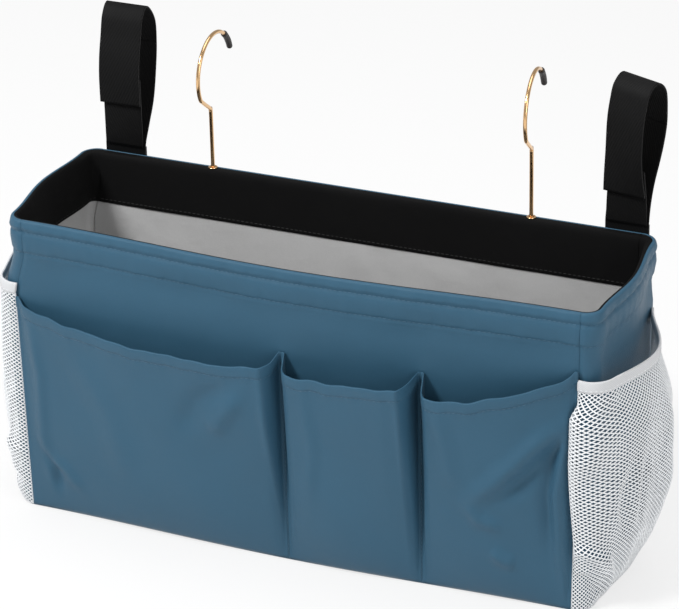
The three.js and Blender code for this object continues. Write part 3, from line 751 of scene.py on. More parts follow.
# %% Front pockets
SEAM_PLACES = [-5.5, 90]
SEAM_HEMS = [162, 159.5, 160.5, 178]
CLOTH, HEM_FOLD, LOWER_BULGE, POCKET_STAND = 0.8, 8, 6, 0.72
HEM_DOUBLING, HEM_ROLL, HEM_INSET, HEM_LIFT = 0.9, 1.4, 0.45, 0.4
FOLD_GAIN, PLEAT_REACH = 2.9, 30
# Folds of the pocket cloth, as lines of (place across, height), with a width and a height.
POCKET_FOLDS = [
    ([(194, 150), (187, 118), (184, 90), (187, 50), (190, 12)], 4.5, 1.7),
    ([(180, 120), (177, 90), (179, 45)], 5.0, -1.0),
    ([(193, 147), (168, 122), (146, 96), (126, 76)], 6.5, 1.6),
    ([(190, 132), (166, 103), (148, 84)], 6.5, -1.3),
    ([(126, 76), (134, 64), (150, 60)], 5.0, 0.9),
    ([(141, 40), (150, 34), (158, 32)], 5.0, 1.0),
    ([(104, 148), (112, 118), (116, 84)], 8.0, 0.9),
    ([(84, 150), (86, 100), (91, 50), (92, 20)], 3.5, 0.8),
    ([(14, 148), (20, 100), (14, 50)], 6.0, 0.7),
    ([(-30, 132), (-44, 112), (-52, 96)], 7.0, 1.2),
    ([(-38, 138), (-62, 118), (-76, 92)], 8.0, -0.9),
    ([(-14, 150), (-13, 110), (-8, 52), (-3, 20)], 3.5, 1.0),
    ([(-192, 152), (-186, 110), (-188, 60), (-182, 20)], 5.0, 0.9),
    ([(-190, 50), (-180, 34), (-178, 16)], 4.0, -1.2),
    ([(-186, 44), (-170, 36), (-160, 22)], 5.0, 0.8),
    ([(-160, 140), (-130, 90), (-120, 40)], 12.0, 0.8),
]
# For each pocket its depth, its hem's heights at the start, middle and end, and its section from seam to
# seam, as shares of its width and depth.
POCKETS = {
    "left_front_pocket": (20, (158, 151, 155), [
        (0.03, 0.2), (0.09, 0.4), (0.19, 0.57), (0.3, 0.72), (0.45, 0.89), (0.6, 0.97),
        (0.75, 1), (0.88, 0.98), (0.955, 0.9), (0.985, 0.5),
    ]),
    "middle_front_pocket": (26, (152, 154.5, 158.5), [
        (0.03, 0.42), (0.1, 0.7), (0.22, 0.78), (0.38, 0.81), (0.54, 0.85), (0.7, 0.92),
        (0.85, 1), (0.93, 1), (0.975, 0.62),
    ]),
    "right_front_pocket": (21, (152.5, 158, 176), [
        (0.03, 0.6), (0.08, 0.93), (0.2, 1), (0.34, 0.99), (0.5, 0.92), (0.65, 0.78),
        (0.8, 0.55), (0.9, 0.34), (0.97, 0.14),
    ]),
}
BAND = BASE_WIDTH - 2 * CORNER + LEFT_SWELL
BAND_LEFT = LEFT_SWELL + BASE_WIDTH / 2 - CORNER
SEAMS = [0, *((x + BAND_LEFT) / BAND for x in SEAM_PLACES), 1]
POCKET_EDGE = (2 * CLOTH + CLEARANCE) / BAND


def through_three(heights, share):
    start, middle, last = heights
    ends = start * (1 - share) * (1 - 2 * share) + last * share * (2 * share - 1)
    return ends + 4 * middle * share * (1 - share)


class Pocket:
    def __init__(self, index, depth, hem, profile):
        self.start, self.stop = SEAMS[index] + POCKET_EDGE, SEAMS[index + 1] - POCKET_EDGE
        self.width = (self.stop - self.start) * BAND
        self.depth = depth
        self.profile = smooth_through([(0, 0), *profile, (1, 0)])
        heights = [(a, through_three(hem, a)) for a, _ in profile]
        self.hem = smooth_through([(0, SEAM_HEMS[index]), *heights, (1, SEAM_HEMS[index + 1])])

    def soft(self, across, up):
        """Faint hand-made unevenness of the cloth, none at the seams and the foot."""
        x = lerp(self.start, self.stop, across) * BAND - BAND_LEFT
        z = up * self.hem(across)
        edge = min(across, 1 - across)
        quiet = smoothstep(edge, 0, 0.12) * smoothstep(up, 0.02, 0.25)
        waves = sin(x / 19 + up * 2.1) * sin(up * 4.3 + x / 47) + 0.5 * sin(x / 9 - up * 5) * up**3
        drawn = smoothstep(edge, 0, 0.03) * smoothstep(up, 0, 0.06) * crease(x, z, POCKET_FOLDS)
        return quiet * 0.8 * waves + FOLD_GAIN * drawn * (1 - 0.6 * smoothstep(up, 0.93, 1))

    def outside(self, across, up):
        """The middle of the outer layer at a share across and a share of the hem's height."""
        inner = clamp(across)
        x = inner * self.width
        hem = self.hem(inner)
        crinkle = 0.7 * sin(x / 6.1 + self.depth) * sin(x / 17 + 2)
        crinkle += 0.5 * sin(x / 3.4) * sin(x / 23)
        z = lerp(SHELL_FOOT, hem + crinkle * smoothstep(min(inner, 1 - inner), 0, 0.08), up)
        lower = LOWER_BULGE * sin(pi * inner) * sin(pi * sqrt(clamp(up)))
        fold = 1 - HEM_FOLD / hem
        doubled = HEM_DOUBLING * smoothstep(up, fold - 0.02, fold + 0.01)
        below = (up - fold) * hem
        stitched = 0.5 * hill(below, 1.2) - 0.22 * pucker(x + 40 * self.depth, z) * hill(below, 4)
        stand = POCKET_STAND + self.depth * self.profile(inner) * up + lower + doubled - stitched
        share = lerp(self.start, self.stop, inner) + (across - inner) * POCKET_EDGE * PLEAT_REACH
        return on_wall(front, share, stand + self.soft(inner, up), z)

    def place(self, across, up):
        """A point of the whole piece. Past 1 it goes over the fold and down the inside of the hem."""
        if up <= 1:
            return self.outside(across, up)
        hem = self.hem(clamp(across))
        turned = (up - 1) * hem
        below = self.outside(across, 1 - max(turned - 1.0, 0) / hem)
        height = self.outside(across, 1).z if turned < 1.0 else below.z
        roll = pi * clamp(turned / HEM_ROLL)
        return Vector((below.x, below.y + (1 - cos(roll)) * HEM_INSET, height + HEM_LIFT * sin(roll)))


# The tables run past the pocket's two edges, where its cloth turns under, and past its hem's fold.
UP = closer_at(evenly(64), [0.948], 0.012, 4)
UP += [1 + step * 0.0018 for step in range(1, 6)] + [1.012, 1.025, 1.04, 1.05]
ACROSS = [-0.033, *closer_at(evenly(120), [0.0, 0.02, 0.98, 1.0], 0.02, 5), 1.033]
pockets = {}
for index, (name, (depth, hem, profile)) in enumerate(POCKETS.items()):
    pockets[name] = Pocket(index, depth, hem, profile)
    piece, size = cloth_piece(f"{name}_cloth", ACROSS, UP, pockets[name].place, oxford, CLOTH * 0.9)
    stand_for(piece, name)

# %% [markdown]
# ## The net pockets
# The net is knitted with diamond holes. See-through spots in a material would do from afar, but real
# holes cast real shadows and are part of the mesh. A flat grid is cut into diamonds: each square
# is poked at its centre and the old straight edges are dissolved. Each diamond is then inset by half a
# strand and its middle is deleted. What is left is the net, which is then laid on the pocket's surface.

# %% Net pockets
NET_TOP, BACK_SHARE = 164.7, 0.86
NET_CELL_WIDTH, NET_CELL_HEIGHT, STRAND, YARN = 3.5, 3.0, 0.7, 0.45
# The elastic is folded over the net's edge: its outer side, the fold and its inner side.
BAND_SECTION = [
    (0.5, 165.1), (0.75, 167), (0.8, 170), (0.6, 172), (0.2, 172.6), (-0.2, 172.6), (-0.55, 172), (-0.6, 170),
    (-0.5, 166),
]
BAND_THICKNESS, NET_STAND, LEAST_STAND, BAND_STEP = 0.6, 0.7, 0.6, 0.004
# The folds' places across are given along a run of this length.
NET_RUN = 104
# For each net its wall, its bulge, its hem's bulge, its lead and its rise as shares of height and bulge.
NETS = {
    "left": (left_end, 20, 9, 0, [
        (0, 0), (0.03, 0.35), (0.08, 0.62), (0.17, 0.88), (0.33, 0.96), (0.5, 1), (0.78, 0.72),
    ]),
    "right": (right_end, 31, 17, 7, [
        (0, 0), (0.03, 0.12), (0.08, 0.27), (0.17, 0.48), (0.33, 0.76), (0.55, 0.97), (0.78, 0.98),
    ]),
}


def spline(points, per_span):
    """A smooth line through points, by the same rule as the CAD model's spline."""
    line = []
    last = len(points) - 1
    for i in range(last):
        p0, p1, p2, p3 = (points[max(0, min(last, i + k))] for k in (-1, 0, 1, 2))
        for step in range(per_span):
            t = step / per_span
            line.append(tuple(
                b + t * (
                    0.5 * (c - a) + t * (a - 2.5 * b + 2 * c - 0.5 * d + t * (1.5 * (b - c) + 0.5 * (d - a)))
                )
                for a, b, c, d in zip(p0, p1, p2, p3)
            ))
    return [*line, tuple(points[-1])]


def spans_at(lengths, places):
    """For each place along a line of running lengths, the number of its span and its share of the span."""
    i = 0
    for wanted in places:
        while i < len(lengths) - 2 and lengths[i + 1] < wanted:
            i += 1
        yield i, (wanted - lengths[i]) / max(lengths[i + 1] - lengths[i], 1e-9)


def evened(line, spacing):
    """The line again with points a fixed distance apart."""
    lengths = running_lengths(line)
    count = max(1, round(lengths[-1] / spacing))
    places = [lengths[-1] * step / count for step in range(count + 1)]
    spans = spans_at(lengths, places)
    return [tuple(lerp(a, b, share) for a, b in zip(line[i], line[i + 1])) for i, share in spans]


BAND_LINE = evened(spline(BAND_SECTION, 8), 0.5)
# Folds of the nets, in millimetres from the front seam and the foot.
NET_FOLDS = {
    "left": [
        ([(2, 40), (12, 44), (22, 30), (30, 8)], 4.0, 2.6),
        ([(8, 22), (16, 14)], 6.0, -2.5),
        ([(20, 120), (14, 80), (16, 40)], 4.0, -2.0),
        ([(40, 130), (36, 90), (44, 50)], 6.0, 2.0),
    ],
    "right": [
        ([(0, 44), (6, 47), (13, 39), (20, 20), (27, 2)], 3.2, 3.6),
        ([(5, 30), (10, 18), (16, 6)], 5.5, -4.2),
        ([(24, 114), (19, 90), (19, 74), (23, 52)], 2.6, -3.0),
        ([(21, 108), (16, 84), (18, 56)], 3.0, 1.6),
        ([(31, 112), (29, 84), (30, 60)], 2.6, -2.2),
        ([(27, 116), (25, 86), (27, 56)], 2.4, 1.5),
        ([(50, 140), (46, 100), (52, 60)], 7.0, 2.0),
        ([(36, 40), (46, 24), (60, 12)], 5.0, -2.4),
        ([(5, 156), (9, 130), (6, 104)], 5.0, 4.2),
        ([(58, 150), (62, 110), (70, 70)], 8.0, -2.4),
    ],
}


class NetPocket:
    def __init__(self, folds, wall, bulge, hem_bulge, lead, rows):
        """The lead is how far the net hangs forward over the front seam below its hem."""
        self.folds, self.wall, self.bulge, self.lead = folds, wall, bulge, lead
        self.rise = smooth_through([*rows, (1, hem_bulge / bulge)])

    def point(self, share, z, loose=0.0, drawn=0.0):
        belly = sin(pi * clamp(share) ** 0.9) ** 1.2
        up = clamp((z - SHELL_FOOT) / (NET_TOP - SHELL_FOOT))
        stand = max(NET_STAND + (self.bulge * self.rise(up) + loose) * belly + drawn, LEAST_STAND)
        near_front = smoothstep(share, 0, 0.03) * (1 - smoothstep(share, 0.05, 0.22))
        lead = self.lead * near_front * smoothstep(z, 10, 120) * (1 - smoothstep(z, 146, 162))
        return on_wall(self.wall, share * BACK_SHARE, stand, z) + Vector((-lead, -0.75 * lead, 0))

    def outward(self, share):
        along = self.point(share + BAND_STEP, NET_TOP) - self.point(share - BAND_STEP, NET_TOP)
        out = along.cross(Vector((0, 0, 1))).normalized()
        return out if out.dot(self.wall(share * BACK_SHARE, NET_TOP)[1]) > 0 else -out

    def slack(self, share, up):
        """Loose folds that fan out from the foot and hang from the hem, and the drawn folds."""
        fan = sin(share * 21 + up * 5.0 + 0.6) * smoothstep(up, 0.03, 0.2) * (1 - smoothstep(up, 0.4, 0.9))
        hang = sin(share * 33 - up * 2.0) * smoothstep(up, 0.55, 1.0) * 0.5
        drawn = crease(share * NET_RUN, up * NET_TOP, self.folds) * smoothstep(share, 0, 0.04)
        return 1.3 * fan + 0.8 * hang, drawn

    def place(self, share, up):
        quiet = 1 - smoothstep(up, 0.96, 1.0)
        loose, drawn = self.slack(share, up)
        return self.point(share, lerp(SHELL_FOOT, NET_TOP, up), loose * quiet, drawn * quiet)

    def band(self, share, index):
        stand, z = BAND_LINE[round(index)]
        return self.point(share, z) + self.outward(share) * stand


def diamond_net(width, height):
    """A flat net of diamonds with its middle at the origin, and the area of its strands."""
    columns, rows = round(width / NET_CELL_WIDTH), round(height / NET_CELL_HEIGHT)
    bm = bmesh.new()
    bmesh.ops.create_grid(bm, x_segments=columns, y_segments=rows, size=0.5)
    bmesh.ops.scale(bm, vec=(width, height, 1), verts=bm.verts)
    straight = [edge for edge in bm.edges if not edge.is_boundary]
    bmesh.ops.poke(bm, faces=bm.faces[:])
    bmesh.ops.dissolve_edges(bm, edges=straight, use_verts=False)
    cells = bm.faces[:]
    bmesh.ops.inset_individual(bm, faces=cells, thickness=STRAND / 2, use_even_offset=True)
    bmesh.ops.delete(bm, geom=cells, context="FACES")
    return bm, sum(face.calc_area() for face in bm.faces)


def net_piece(name, pocket):
    width = real_lengths([pocket.place(share, 0.5) for share in evenly(60)])[-1] / MM
    height = real_lengths([pocket.place(0.5, up) for up in evenly(60)])[-1] / MM
    bm, area = diamond_net(width, height)
    layer = bm.loops.layers.uv.new("cloth")
    for face in bm.faces:
        for loop in face.loops:
            loop[layer].uv = (loop.vert.co.x * MM, loop.vert.co.y * MM)
    for vert in bm.verts:
        vert.co = pocket.place(vert.co.x / width + 0.5, vert.co.y / height + 0.5) * MM
    bmesh.ops.recalc_face_normals(bm, faces=bm.faces[:])
    piece = thicken(finished(name, bm, net_yarn), YARN)
    print(f"{name}: {len(piece.data.polygons)} strand faces, {width:.0f} x {height:.0f} mm flat")
    return piece


net_pockets = {side: NetPocket(NET_FOLDS[side], *given) for side, given in NETS.items()}
for side, pocket in net_pockets.items():
    net = net_piece(f"{side}_net", pocket)
    stand_for(net, f"{side}_net_pocket")
    places = list(range(len(BAND_LINE)))
    hem, size = cloth_piece(
        f"{side}_elastic_band", evenly(110), places, pocket.band, elastic_cloth, BAND_THICKNESS
    )
    stand_for(hem, f"{side}_elastic_hem")

# %% [markdown]
# ## The straps
# Each strap's root is sewn to the back wall. The webbing rises, loops over the rail and comes down in
# front, where a loop tape grips the hook tape on a short tongue. It bends at the rim when the strap
# swings, and over its top when the flap is pulled open, and the CAD model has a joint at each place.
# The strap is made in two lengths that meet behind the rail.

# %% Strap lines
RIM_BACK = DEPTH / 2
STRAP_WIDTH, TONGUE_WIDTH, TAPE_WIDTH, WEBBING, TAPE = 30, 28, 26, 1.4, 0.8
STRAP_FOOT, LOOP_BASE, LOOP_HEIGHT, ANCHOR, GRIP = 5.4, 4.4, 101, 38, 18
# The places of the layers in depth, from the wall's back face, with the front ones below zero.
STRAP_MIDDLE, REAR_MIDDLE, TONGUE_MIDDLE = 1.0, 2.4, -0.7
HOOK_TAPE_MIDDLE, LOOP_TAPE_MIDDLE, FLAP_MIDDLE = -2.1, -3.2, -4.6
REAR_TOP, TAPE_EDGE, HOOK_TAPE_DROP, REAR_SHARE = 4.9, 0.3, 3, 0.9
LINE_STEP = 1.6
# The rows beside a strap's edges, from each edge inwards.
EDGE_ROWS = (0, 0.4)
EDGE_INSET = 1.2
# Where a strap's twist ends and its two lengths meet, and how far its fold runs: behind the top as a
# share of the loop's reach, in front as a length.
TWIST_TOP, JOIN_HEIGHT, FOLD_BEHIND_SHARE, FOLD_FRONT = 60, 74, 0.46, 14
# For each strap its place, reach, twist and flap's foot, then its loop's side view up the back and down
# the front, as shares of its reach and its height.
STRAPS = {
    "left": (
        -180.5, 25, 0.0, 38,
        [(0.08, 0.06), (0.32, 0.16), (0.66, 0.31), (0.89, 0.52), (1, 0.7), (0.95, 0.87), (0.5, 1)],
        [(0.17, 0.94), (0, 0.8), (-0.15, 0.66)],
    ),
    "right": (
        186.5, 20, radians(-22), 28,
        [(0.1, 0.1), (0.36, 0.26), (0.68, 0.44), (0.95, 0.64), (1, 0.78), (0.91, 0.93), (0.5, 1)],
        [(0.1, 0.95), (-0.08, 0.85), (-0.22, 0.7)],
    ),
}


def strap_line(reach, flap_foot, rising, falling):
    points = [(STRAP_MIDDLE, STRAP_FOOT)]
    points += [(STRAP_MIDDLE + reach * a, LOOP_BASE + LOOP_HEIGHT * b) for a, b in [*rising, *falling]]
    points += [(FLAP_MIDDLE, flap_foot + GRIP), (FLAP_MIDDLE, flap_foot)]
    return evened(spline(points, 24), LINE_STEP)


def on_strap(place, twist, x, y, z):
    """A point of a strap, given across its width and in its side view behind and above the rim."""
    angle = twist * smoothstep(z, STRAP_FOOT, TWIST_TOP)
    turned_x = x * cos(angle) - y * sin(angle)
    turned_y = x * sin(angle) + y * cos(angle)
    return Vector((place + turned_x, RIM_BACK + turned_y, HEIGHT + z))


def strip(name, node, line, width, thickness, body, centre, twist, material=webbing_cloth):
    """A strip of webbing or tape along a side-view line, with close rows beside its two edges."""
    half = width / 2
    across = [
        *(row - half for row in EDGE_ROWS),
        *evenly(10, EDGE_INSET - half, half - EDGE_INSET),
        *(half - row for row in reversed(EDGE_ROWS)),
    ]

    def place(x, index):
        return on_strap(centre, twist, x, *line[round(index)])

    piece, size = cloth_piece(name, across, list(range(len(line))), place, material, thickness, body)
    stand_for(piece, node)
    return piece


# %% Straps
for prefix, (place, reach, twist, flap_foot, rising, falling) in STRAPS.items():
    strap_body, flap_body = f"{prefix}_strap_body", f"{prefix}_flap_body"
    loop = strap_line(reach, flap_foot, rising, falling)
    join = next(i for i, (_, z) in enumerate(loop) if z > JOIN_HEIGHT)
    root_line = evened([(STRAP_MIDDLE, -ANCHOR), (STRAP_MIDDLE, 0), *loop[: join + 1]], LINE_STEP)
    root = strip(
        f"{prefix}_strap_root", f"{prefix}_strap", root_line, STRAP_WIDTH, WEBBING, None, place, twist
    )
    bend = on_strap(place, twist, 0, STRAP_MIDDLE, 0) * MM
    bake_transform(root)
    upper_line = [root_line[-1], *loop[join + 1 :]]
    upper = strip(
        f"{prefix}_strap_loop", f"{prefix}_strap_flap", upper_line, STRAP_WIDTH, WEBBING, None, place, twist
    )
    top_y, top_z = max(loop, key=lambda point: point[1])
    fold_from = on_strap(place, twist, 0, top_y + FOLD_BEHIND_SHARE * reach, top_z) * MM
    fold_to = on_strap(place, twist, 0, top_y - FOLD_FRONT, top_z) * MM
    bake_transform(upper)
    tongue_top = flap_foot + GRIP
    tape_top = tongue_top - TAPE_EDGE
    for name, node, middle, low, high, width, thickness, body, turn, material in (
        ("strap_backing", "strap_anchor", REAR_MIDDLE, -ANCHOR, REAR_TOP,
         STRAP_WIDTH, WEBBING * REAR_SHARE, "caddy", 0, webbing_cloth),
        ("tongue", "strap_tongue", TONGUE_MIDDLE, STRAP_FOOT, tongue_top,
         TONGUE_WIDTH, WEBBING, strap_body, twist, webbing_cloth),
        ("hook_side", "hook_tape", HOOK_TAPE_MIDDLE, flap_foot - HOOK_TAPE_DROP, tape_top,
         TAPE_WIDTH, TAPE, strap_body, twist, tape_cloth),
        ("loop_side", "loop_tape", LOOP_TAPE_MIDDLE, flap_foot, tape_top,
         TAPE_WIDTH, TAPE, flap_body, twist, tape_cloth),
    ):
        line = evened([(middle, low), (middle, high)], LINE_STEP)
        strip(f"{prefix}_{name}", f"{prefix}_{node}", line, width, thickness, body, place, turn, material)

# %% [markdown]
# ## The hooks
# A hook is one bent wire: an upright stem that turns in the rim, a cranked neck and a wide arc with a
# rubber tip on its end. A round wire is a ring of vertices carried along a line. The ring and the line
# are the two directions of a grid again, and merging its doubles closes the tube and its ends.

# %% Wire and tips
# For each hook its place, its rise above an even height and its turn.
HOOKS = {"left": (-112, 0, 0.0), "right": (121, 6, radians(6))}
WIRE, WIRE_STEP, HEAD, HEAD_HEIGHT, STEM_Y = 1.4, 1.3, 2.3, 1.3, DEPTH / 2 - 3.6
TIP, NOSE_START, NOSE_REACH, NOSE_RADIUS, MOUTH_RADII = 2.2, 0.25, 1.95, 2.1, (1.45, 1.9)
ARC_RADIUS, ARC_BACK, ARC_HEIGHT, NECK_START = 27, 8.5, 69, 45
ARC_FROM, ARC_TO, TIP_FROM = radians(208), radians(21), radians(50)
NECK = [(0, -0.4), (0.06, -0.06), (0.2, 0.14), (0.55, 0.5), (0.85, 0.83)]
STEM_FOOT = 198.4 - HEIGHT


def arc_point(angle, rise):
    return ARC_BACK + ARC_RADIUS * cos(angle), ARC_HEIGHT + rise + ARC_RADIUS * sin(angle)


def hook_centre(rise):
    y, z = arc_point(ARC_FROM, rise)
    points = [(0, STEM_FOOT), (0, 0)]
    points += [(y * a, lerp(NECK_START + rise, z, b)) for a, b in NECK]
    points += [arc_point(angle, rise) for angle in evenly(24, ARC_FROM, ARC_TO)]
    return evened(spline(points, 12), WIRE_STEP)


def round_bar(name, prefix, line, radii, material):
    """A round bar along a side-view line, with a radius for each of its points."""
    hook_place, _, hook_turn = HOOKS[prefix]
    turn = Matrix.Rotation(hook_turn, 4, "Z")

    def place(share, index):
        i = round(index)
        before, after = line[max(i - 1, 0)], line[min(i + 1, len(line) - 1)]
        along = Vector((0, after[0] - before[0], after[1] - before[1])).normalized()
        outward = Vector((0, -along.z, along.y))
        angle = 2 * pi * share
        ring = (Vector((1, 0, 0)) * cos(angle) + outward * sin(angle)) * radii[i]
        return turn @ (Vector((0, *line[i])) + ring) + Vector((hook_place, STEM_Y, HEIGHT))

    bm, _ = laid_grid(evenly(20), list(range(len(line))), place)
    bmesh.ops.remove_doubles(bm, verts=bm.verts, dist=1e-6)
    bmesh.ops.recalc_face_normals(bm, faces=bm.faces[:])
    piece = finished(name, bm, material, f"{prefix}_hook_body")
    print(f"{name}: {len(piece.data.polygons)} faces")
    return piece


def hook_tip_shape(rise):
    """The tip's line and radii: a mouth lip, a sleeve and a rounded nose."""
    nose = ARC_TO - 1.3 / ARC_RADIUS
    line = [arc_point(angle, rise) for angle in evenly(22, TIP_FROM, nose)]
    radii = [TIP + 0.12 * hill(share - 0.04, 0.05) - 0.1 * smoothstep(share, 0.6, 1) for share in evenly(22)]
    for turn in (0.3, 0.6, 0.9, 1.15, 1.35, 1.5, pi / 2):
        reach = NOSE_START + NOSE_REACH * sin(turn)
        line.append(arc_point(nose - (reach - NOSE_START) / ARC_RADIUS, rise))
        radii.append(max(NOSE_RADIUS * cos(turn), 0.0))
    mouth = arc_point(TIP_FROM, rise)
    return [mouth, mouth, *line], [*MOUTH_RADII, *radii]


for prefix, (_, rise, _) in HOOKS.items():
    centre = hook_centre(rise)
    wire_line = [centre[0], *centre, centre[-1]]
    radii = [HEAD if z < STEM_FOOT + HEAD_HEIGHT else WIRE for _, z in centre]
    wire = round_bar(f"{prefix}_hook_wire", prefix, wire_line, [0, *radii, 0], gold_plate)
    stand_for(wire, f"{prefix}_hook")
    tip = round_bar(f"{prefix}_rubber_tip", prefix, *hook_tip_shape(rise), tip_rubber)
    stand_for(tip, f"{prefix}_hook_tip")

# %% [markdown]
# ## The eyelets
# Each stem comes up through a small brass eyelet that keeps the cloth from fraying. An eyelet is a
# turned shape, so one section is drawn and spun once round the stem.

# %% Eyelets
EYELET = [
    (1.7, -1.8), (2.3, -1.8), (2.3, 0.2), (2.5, 0.3), (3.05, 0.3), (3.2, 0.42), (3.2, 0.58),
    (3.05, 0.75), (2.75, 0.88), (2.35, 0.9), (1.95, 0.84), (1.75, 0.68), (1.7, 0.4),
]
for prefix, (hook_place, _, _) in HOOKS.items():
    bm = bmesh.new()
    centre_point = Vector((hook_place, STEM_Y, HEIGHT))
    ring = [bm.verts.new((centre_point + Vector((radius, 0, z))) * MM) for radius, z in EYELET]
    edges = [bm.edges.new((a, b)) for a, b in zip(ring, ring[1:] + ring[:1])]
    bmesh.ops.spin(
        bm, geom=ring + edges, cent=centre_point * MM, axis=(0, 0, 1), angle=2 * pi, steps=40, use_merge=True
    )
    bmesh.ops.recalc_face_normals(bm, faces=bm.faces[:])
    eyelet = finished(f"{prefix}_eyelet", bm, gold_plate)
    stand_for(eyelet, f"{prefix}_hook_eyelet")
    print(f"{prefix}_eyelet: {len(eyelet.data.polygons)} faces")

# %% [markdown]
# ## Stitching
# Thread shows as a row of small humps, each about 2.5 mm long. One stitch is a tiny stretched sphere
# with few faces, because there are many hundreds. A row follows a line on the cloth, and each stitch is
# turned to the line and to the cloth's own outward direction there.

# %% Stitch rows
STITCH_LENGTH, STITCH_GAP, STITCH_RADIUS, STITCH_FLATNESS, STITCH_LIFT = 2.5, 0.85, 0.26, 0.85, 0.2
# Where rows lie: their margin at the seams, and how far off or inside a wall's even surface.
ROW_STEP, ROW_MARGIN, ROW_LIFT, SEAM_LIFT, BOX_LIFT = 0.004, 2.0, 0.05, 1.15, 0.66
FACING_FACE, FACING_ROW, BAND_ROW = 7.92, 184.5, 1.8


def stitch_shape():
    """One stitch of unit size, as vertices and faces."""
    bm = bmesh.new()
    bmesh.ops.create_uvsphere(bm, u_segments=6, v_segments=4, radius=1)
    shape = [vert.co.copy() for vert in bm.verts], [[vert.index for vert in face.verts] for face in bm.faces]
    bm.free()
    return shape


STITCH_VERTS, STITCH_FACES = stitch_shape()


def stitch_rows(name, rows, material):
    """Stitches along rows, each a list of (point, outward direction) in millimetres."""
    bm = bmesh.new()
    for row in rows:
        lengths = running_lengths([point for point, _ in row], lambda before, after: (after - before).length)
        count = max(1, int(lengths[-1] / (STITCH_LENGTH + STITCH_GAP)))
        pitch = lengths[-1] / count
        for i, share in spans_at(lengths, [(number + 0.5) * pitch for number in range(count)]):
            (here, outward), (there, _) = row[i], row[i + 1]
            along = (there - here).normalized()
            sideways = outward.cross(along).normalized()
            upward = along.cross(sideways) * STITCH_RADIUS
            sides = sideways * STITCH_RADIUS, upward * STITCH_FLATNESS, along * (pitch - STITCH_GAP) / 2
            axes = Matrix(sides).transposed()
            spot = here.lerp(there, share) + upward * STITCH_LIFT
            placed = [bm.verts.new((spot + axes @ co) * MM) for co in STITCH_VERTS]
            for face in STITCH_FACES:
                bm.faces.new([placed[k] for k in face])
    print(f"{name}: {len(bm.faces) // len(STITCH_FACES)} stitches")
    return finished(name, bm, material)


def surface_row(place, params):
    """Points on a surface with their outward directions, lifted by half the cloth."""
    row = []
    for across, up in params:
        here = place(across, up)
        sideways = place(across + ROW_STEP, up) - place(across - ROW_STEP, up)
        upward = place(across, up + ROW_STEP) - place(across, up - ROW_STEP)
        outward = sideways.cross(upward).normalized()
        row.append((here + outward * CLOTH / 2, outward))
    return row


def wall_row(wall, run, z, inside=False):
    row = []
    for share in evenly(240, ROW_MARGIN / run, 1 - ROW_MARGIN / run):
        normal = wall(share, z)[1]
        if inside:
            row.append((on_wall(wall, share, -FACING_FACE, z), -normal))
        else:
            row.append((on_wall(wall, share, wall_relief(share, z, run) + ROW_LIFT, z), normal))
    return row


rim_rows = [wall_row(wall, run, z) for wall, run, _ in WALLS.values() for z in STITCH_ROWS]
stitch_rows("rim_stitches", rim_rows, blue_thread)
inner_rows = [wall_row(wall, run, FACING_ROW, inside=True) for wall, run, _ in WALLS.values()]
stitch_rows("facing_stitches", inner_rows, black_thread)

hem_rows = []
for pocket in pockets.values():
    params = [(a, 1 - HEM_FOLD / pocket.hem(a)) for a in evenly(160, 0.004, 0.996)]
    hem_rows.append(surface_row(pocket.outside, params))
stitch_rows("pocket_hem_stitches", hem_rows, blue_thread)

seam_rows = []
for seam, top in zip(SEAMS[1:3], SEAM_HEMS[1:3]):
    points = [on_wall(front, seam, SEAM_LIFT, z) for z in evenly(60, 4, top - 2)]
    seam_rows.append([(point, Vector((0, -1, 0))) for point in points])
stitch_rows("pocket_seam_stitches", seam_rows, blue_thread)

band_rows = []
for pocket in net_pockets.values():
    outwards = [(share, pocket.outward(share)) for share in evenly(120, 0.01, 0.99)]
    band_rows.append([(pocket.point(share, NET_TOP + BAND_ROW) + out, out) for share, out in outwards])
stitch_rows("band_stitches", band_rows, white_thread)

# A strap's root is sewn down by a box with its two diagonals.
a, b, c, d = (-12, -34), (12, -34), (12, -8), (-12, -8)
for prefix, (place, *_) in STRAPS.items():
    box_rows = []
    for (x0, z0), (x1, z1) in ((a, b), (b, c), (c, d), (d, a), (a, c), (b, d)):
        line = [(lerp(x0, x1, share), lerp(z0, z1, share)) for share in evenly(10)]
        row = [(on_strap(place, 0, x, REAR_MIDDLE + BOX_LIFT, z), Vector((0, 1, 0))) for x, z in line]
        box_rows.append(row)
    stitch_rows(f"{prefix}_anchor_stitches", box_rows, black_thread)

# %% [markdown]
# ## Stage and light
# The caddy stands on a pale floor that the camera sees as nearly white, with its own soft shadow. A key
# lamp at the front left gives the form, one fills the right, one hangs above, and the world adds an even
# light from all round.

# %% Stage
FLOOR_SIZE, FLOOR_DROP, FLOOR_GLOW, WORLD_LIGHT = 8.0, 0.0003, 0.72, 0.42
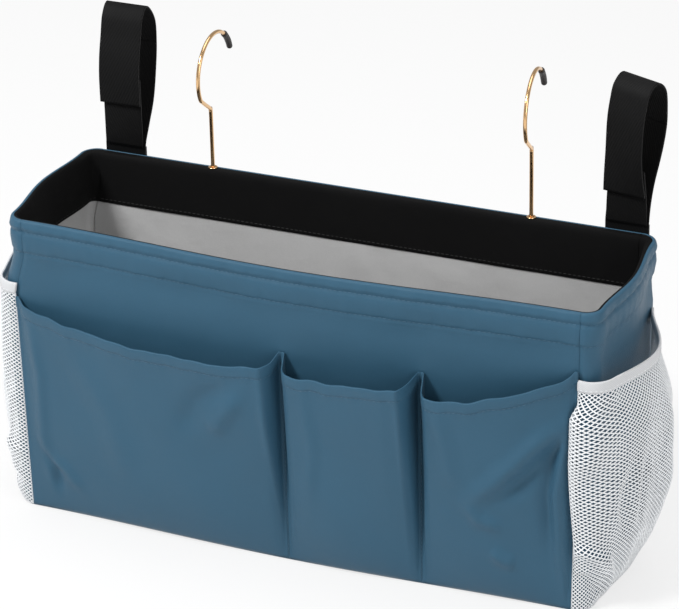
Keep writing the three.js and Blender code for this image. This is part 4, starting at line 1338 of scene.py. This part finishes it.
# For each lamp its place, the point it is turned to, its size and its power.
LAMPS = {
    "key lamp": ((-1.1, -1.3, 1.9), (0, 0, 0.1), 0.6, 46),
    "fill lamp": ((1.7, -0.9, 0.9), (0, 0, 0.12), 1.4, 13),
    "top lamp": ((0.0, 0.3, 2.0), (0, 0, 0.1), 1.6, 14),
}
WHITE = (1, 1, 1, 1)


def seen_by(tree, *rays):
    """1 for rays of the named kinds, such as the camera's own, and 0 for all others."""
    path = add_node(tree, "ShaderNodeLightPath", {})
    seen = path[rays[0]]
    for ray in rays[1:]:
        seen = calculate(tree, "MAXIMUM", seen, path[ray])
    return seen


def make_floor():
    pale, tree, shader = new_material("pale floor")
    fill_inputs(shader, {"Base Color": (0.8, 0.8, 0.8, 1), "Roughness": 0.9, "Specular IOR Level": 0.1})
    glow = add_node(tree, "ShaderNodeEmission", {"Color": WHITE, "Strength": 1.0})[0]
    seen = seen_by(tree, "Is Camera Ray", "Is Glossy Ray", "Is Transmission Ray")
    share = calculate(tree, "MULTIPLY", seen, FLOOR_GLOW)
    mixed = add_node(tree, "ShaderNodeMixShader", {0: share, 1: shader.outputs[0], 2: glow})[0]
    fill_inputs(tree.nodes["Material Output"], {"Surface": mixed})
    bm = bmesh.new()
    bmesh.ops.create_grid(bm, x_segments=1, y_segments=1, size=FLOOR_SIZE)
    floor = finished("floor", bm, pale, None)
    floor.location.z = -FLOOR_DROP


def make_world():
    world = bpy.data.worlds.new("studio")
    world.use_nodes = True
    tree = world.node_tree
    seen = seen_by(tree, "Is Camera Ray", "Is Transmission Ray")
    strength = ranged(tree, seen, 0.0, 1.0, WORLD_LIGHT, 1.0)
    fill_inputs(tree.nodes["Background"], {"Color": WHITE, "Strength": strength})
    bpy.context.scene.world = world


make_floor()
make_world()
for name, (place, target, size, power) in LAMPS.items():
    data = bpy.data.lights.new(name, "AREA")
    data.shape = "DISK"
    data.size = size
    data.energy = power
    lamp = add_object(name, data)
    lamp.location = place
    lamp.rotation_euler = (Vector(target) - Vector(place)).to_track_quat("-Z", "Y").to_euler()
bpy.context.scene.view_settings.view_transform = "Standard"
print("lamps:", sorted(LAMPS))
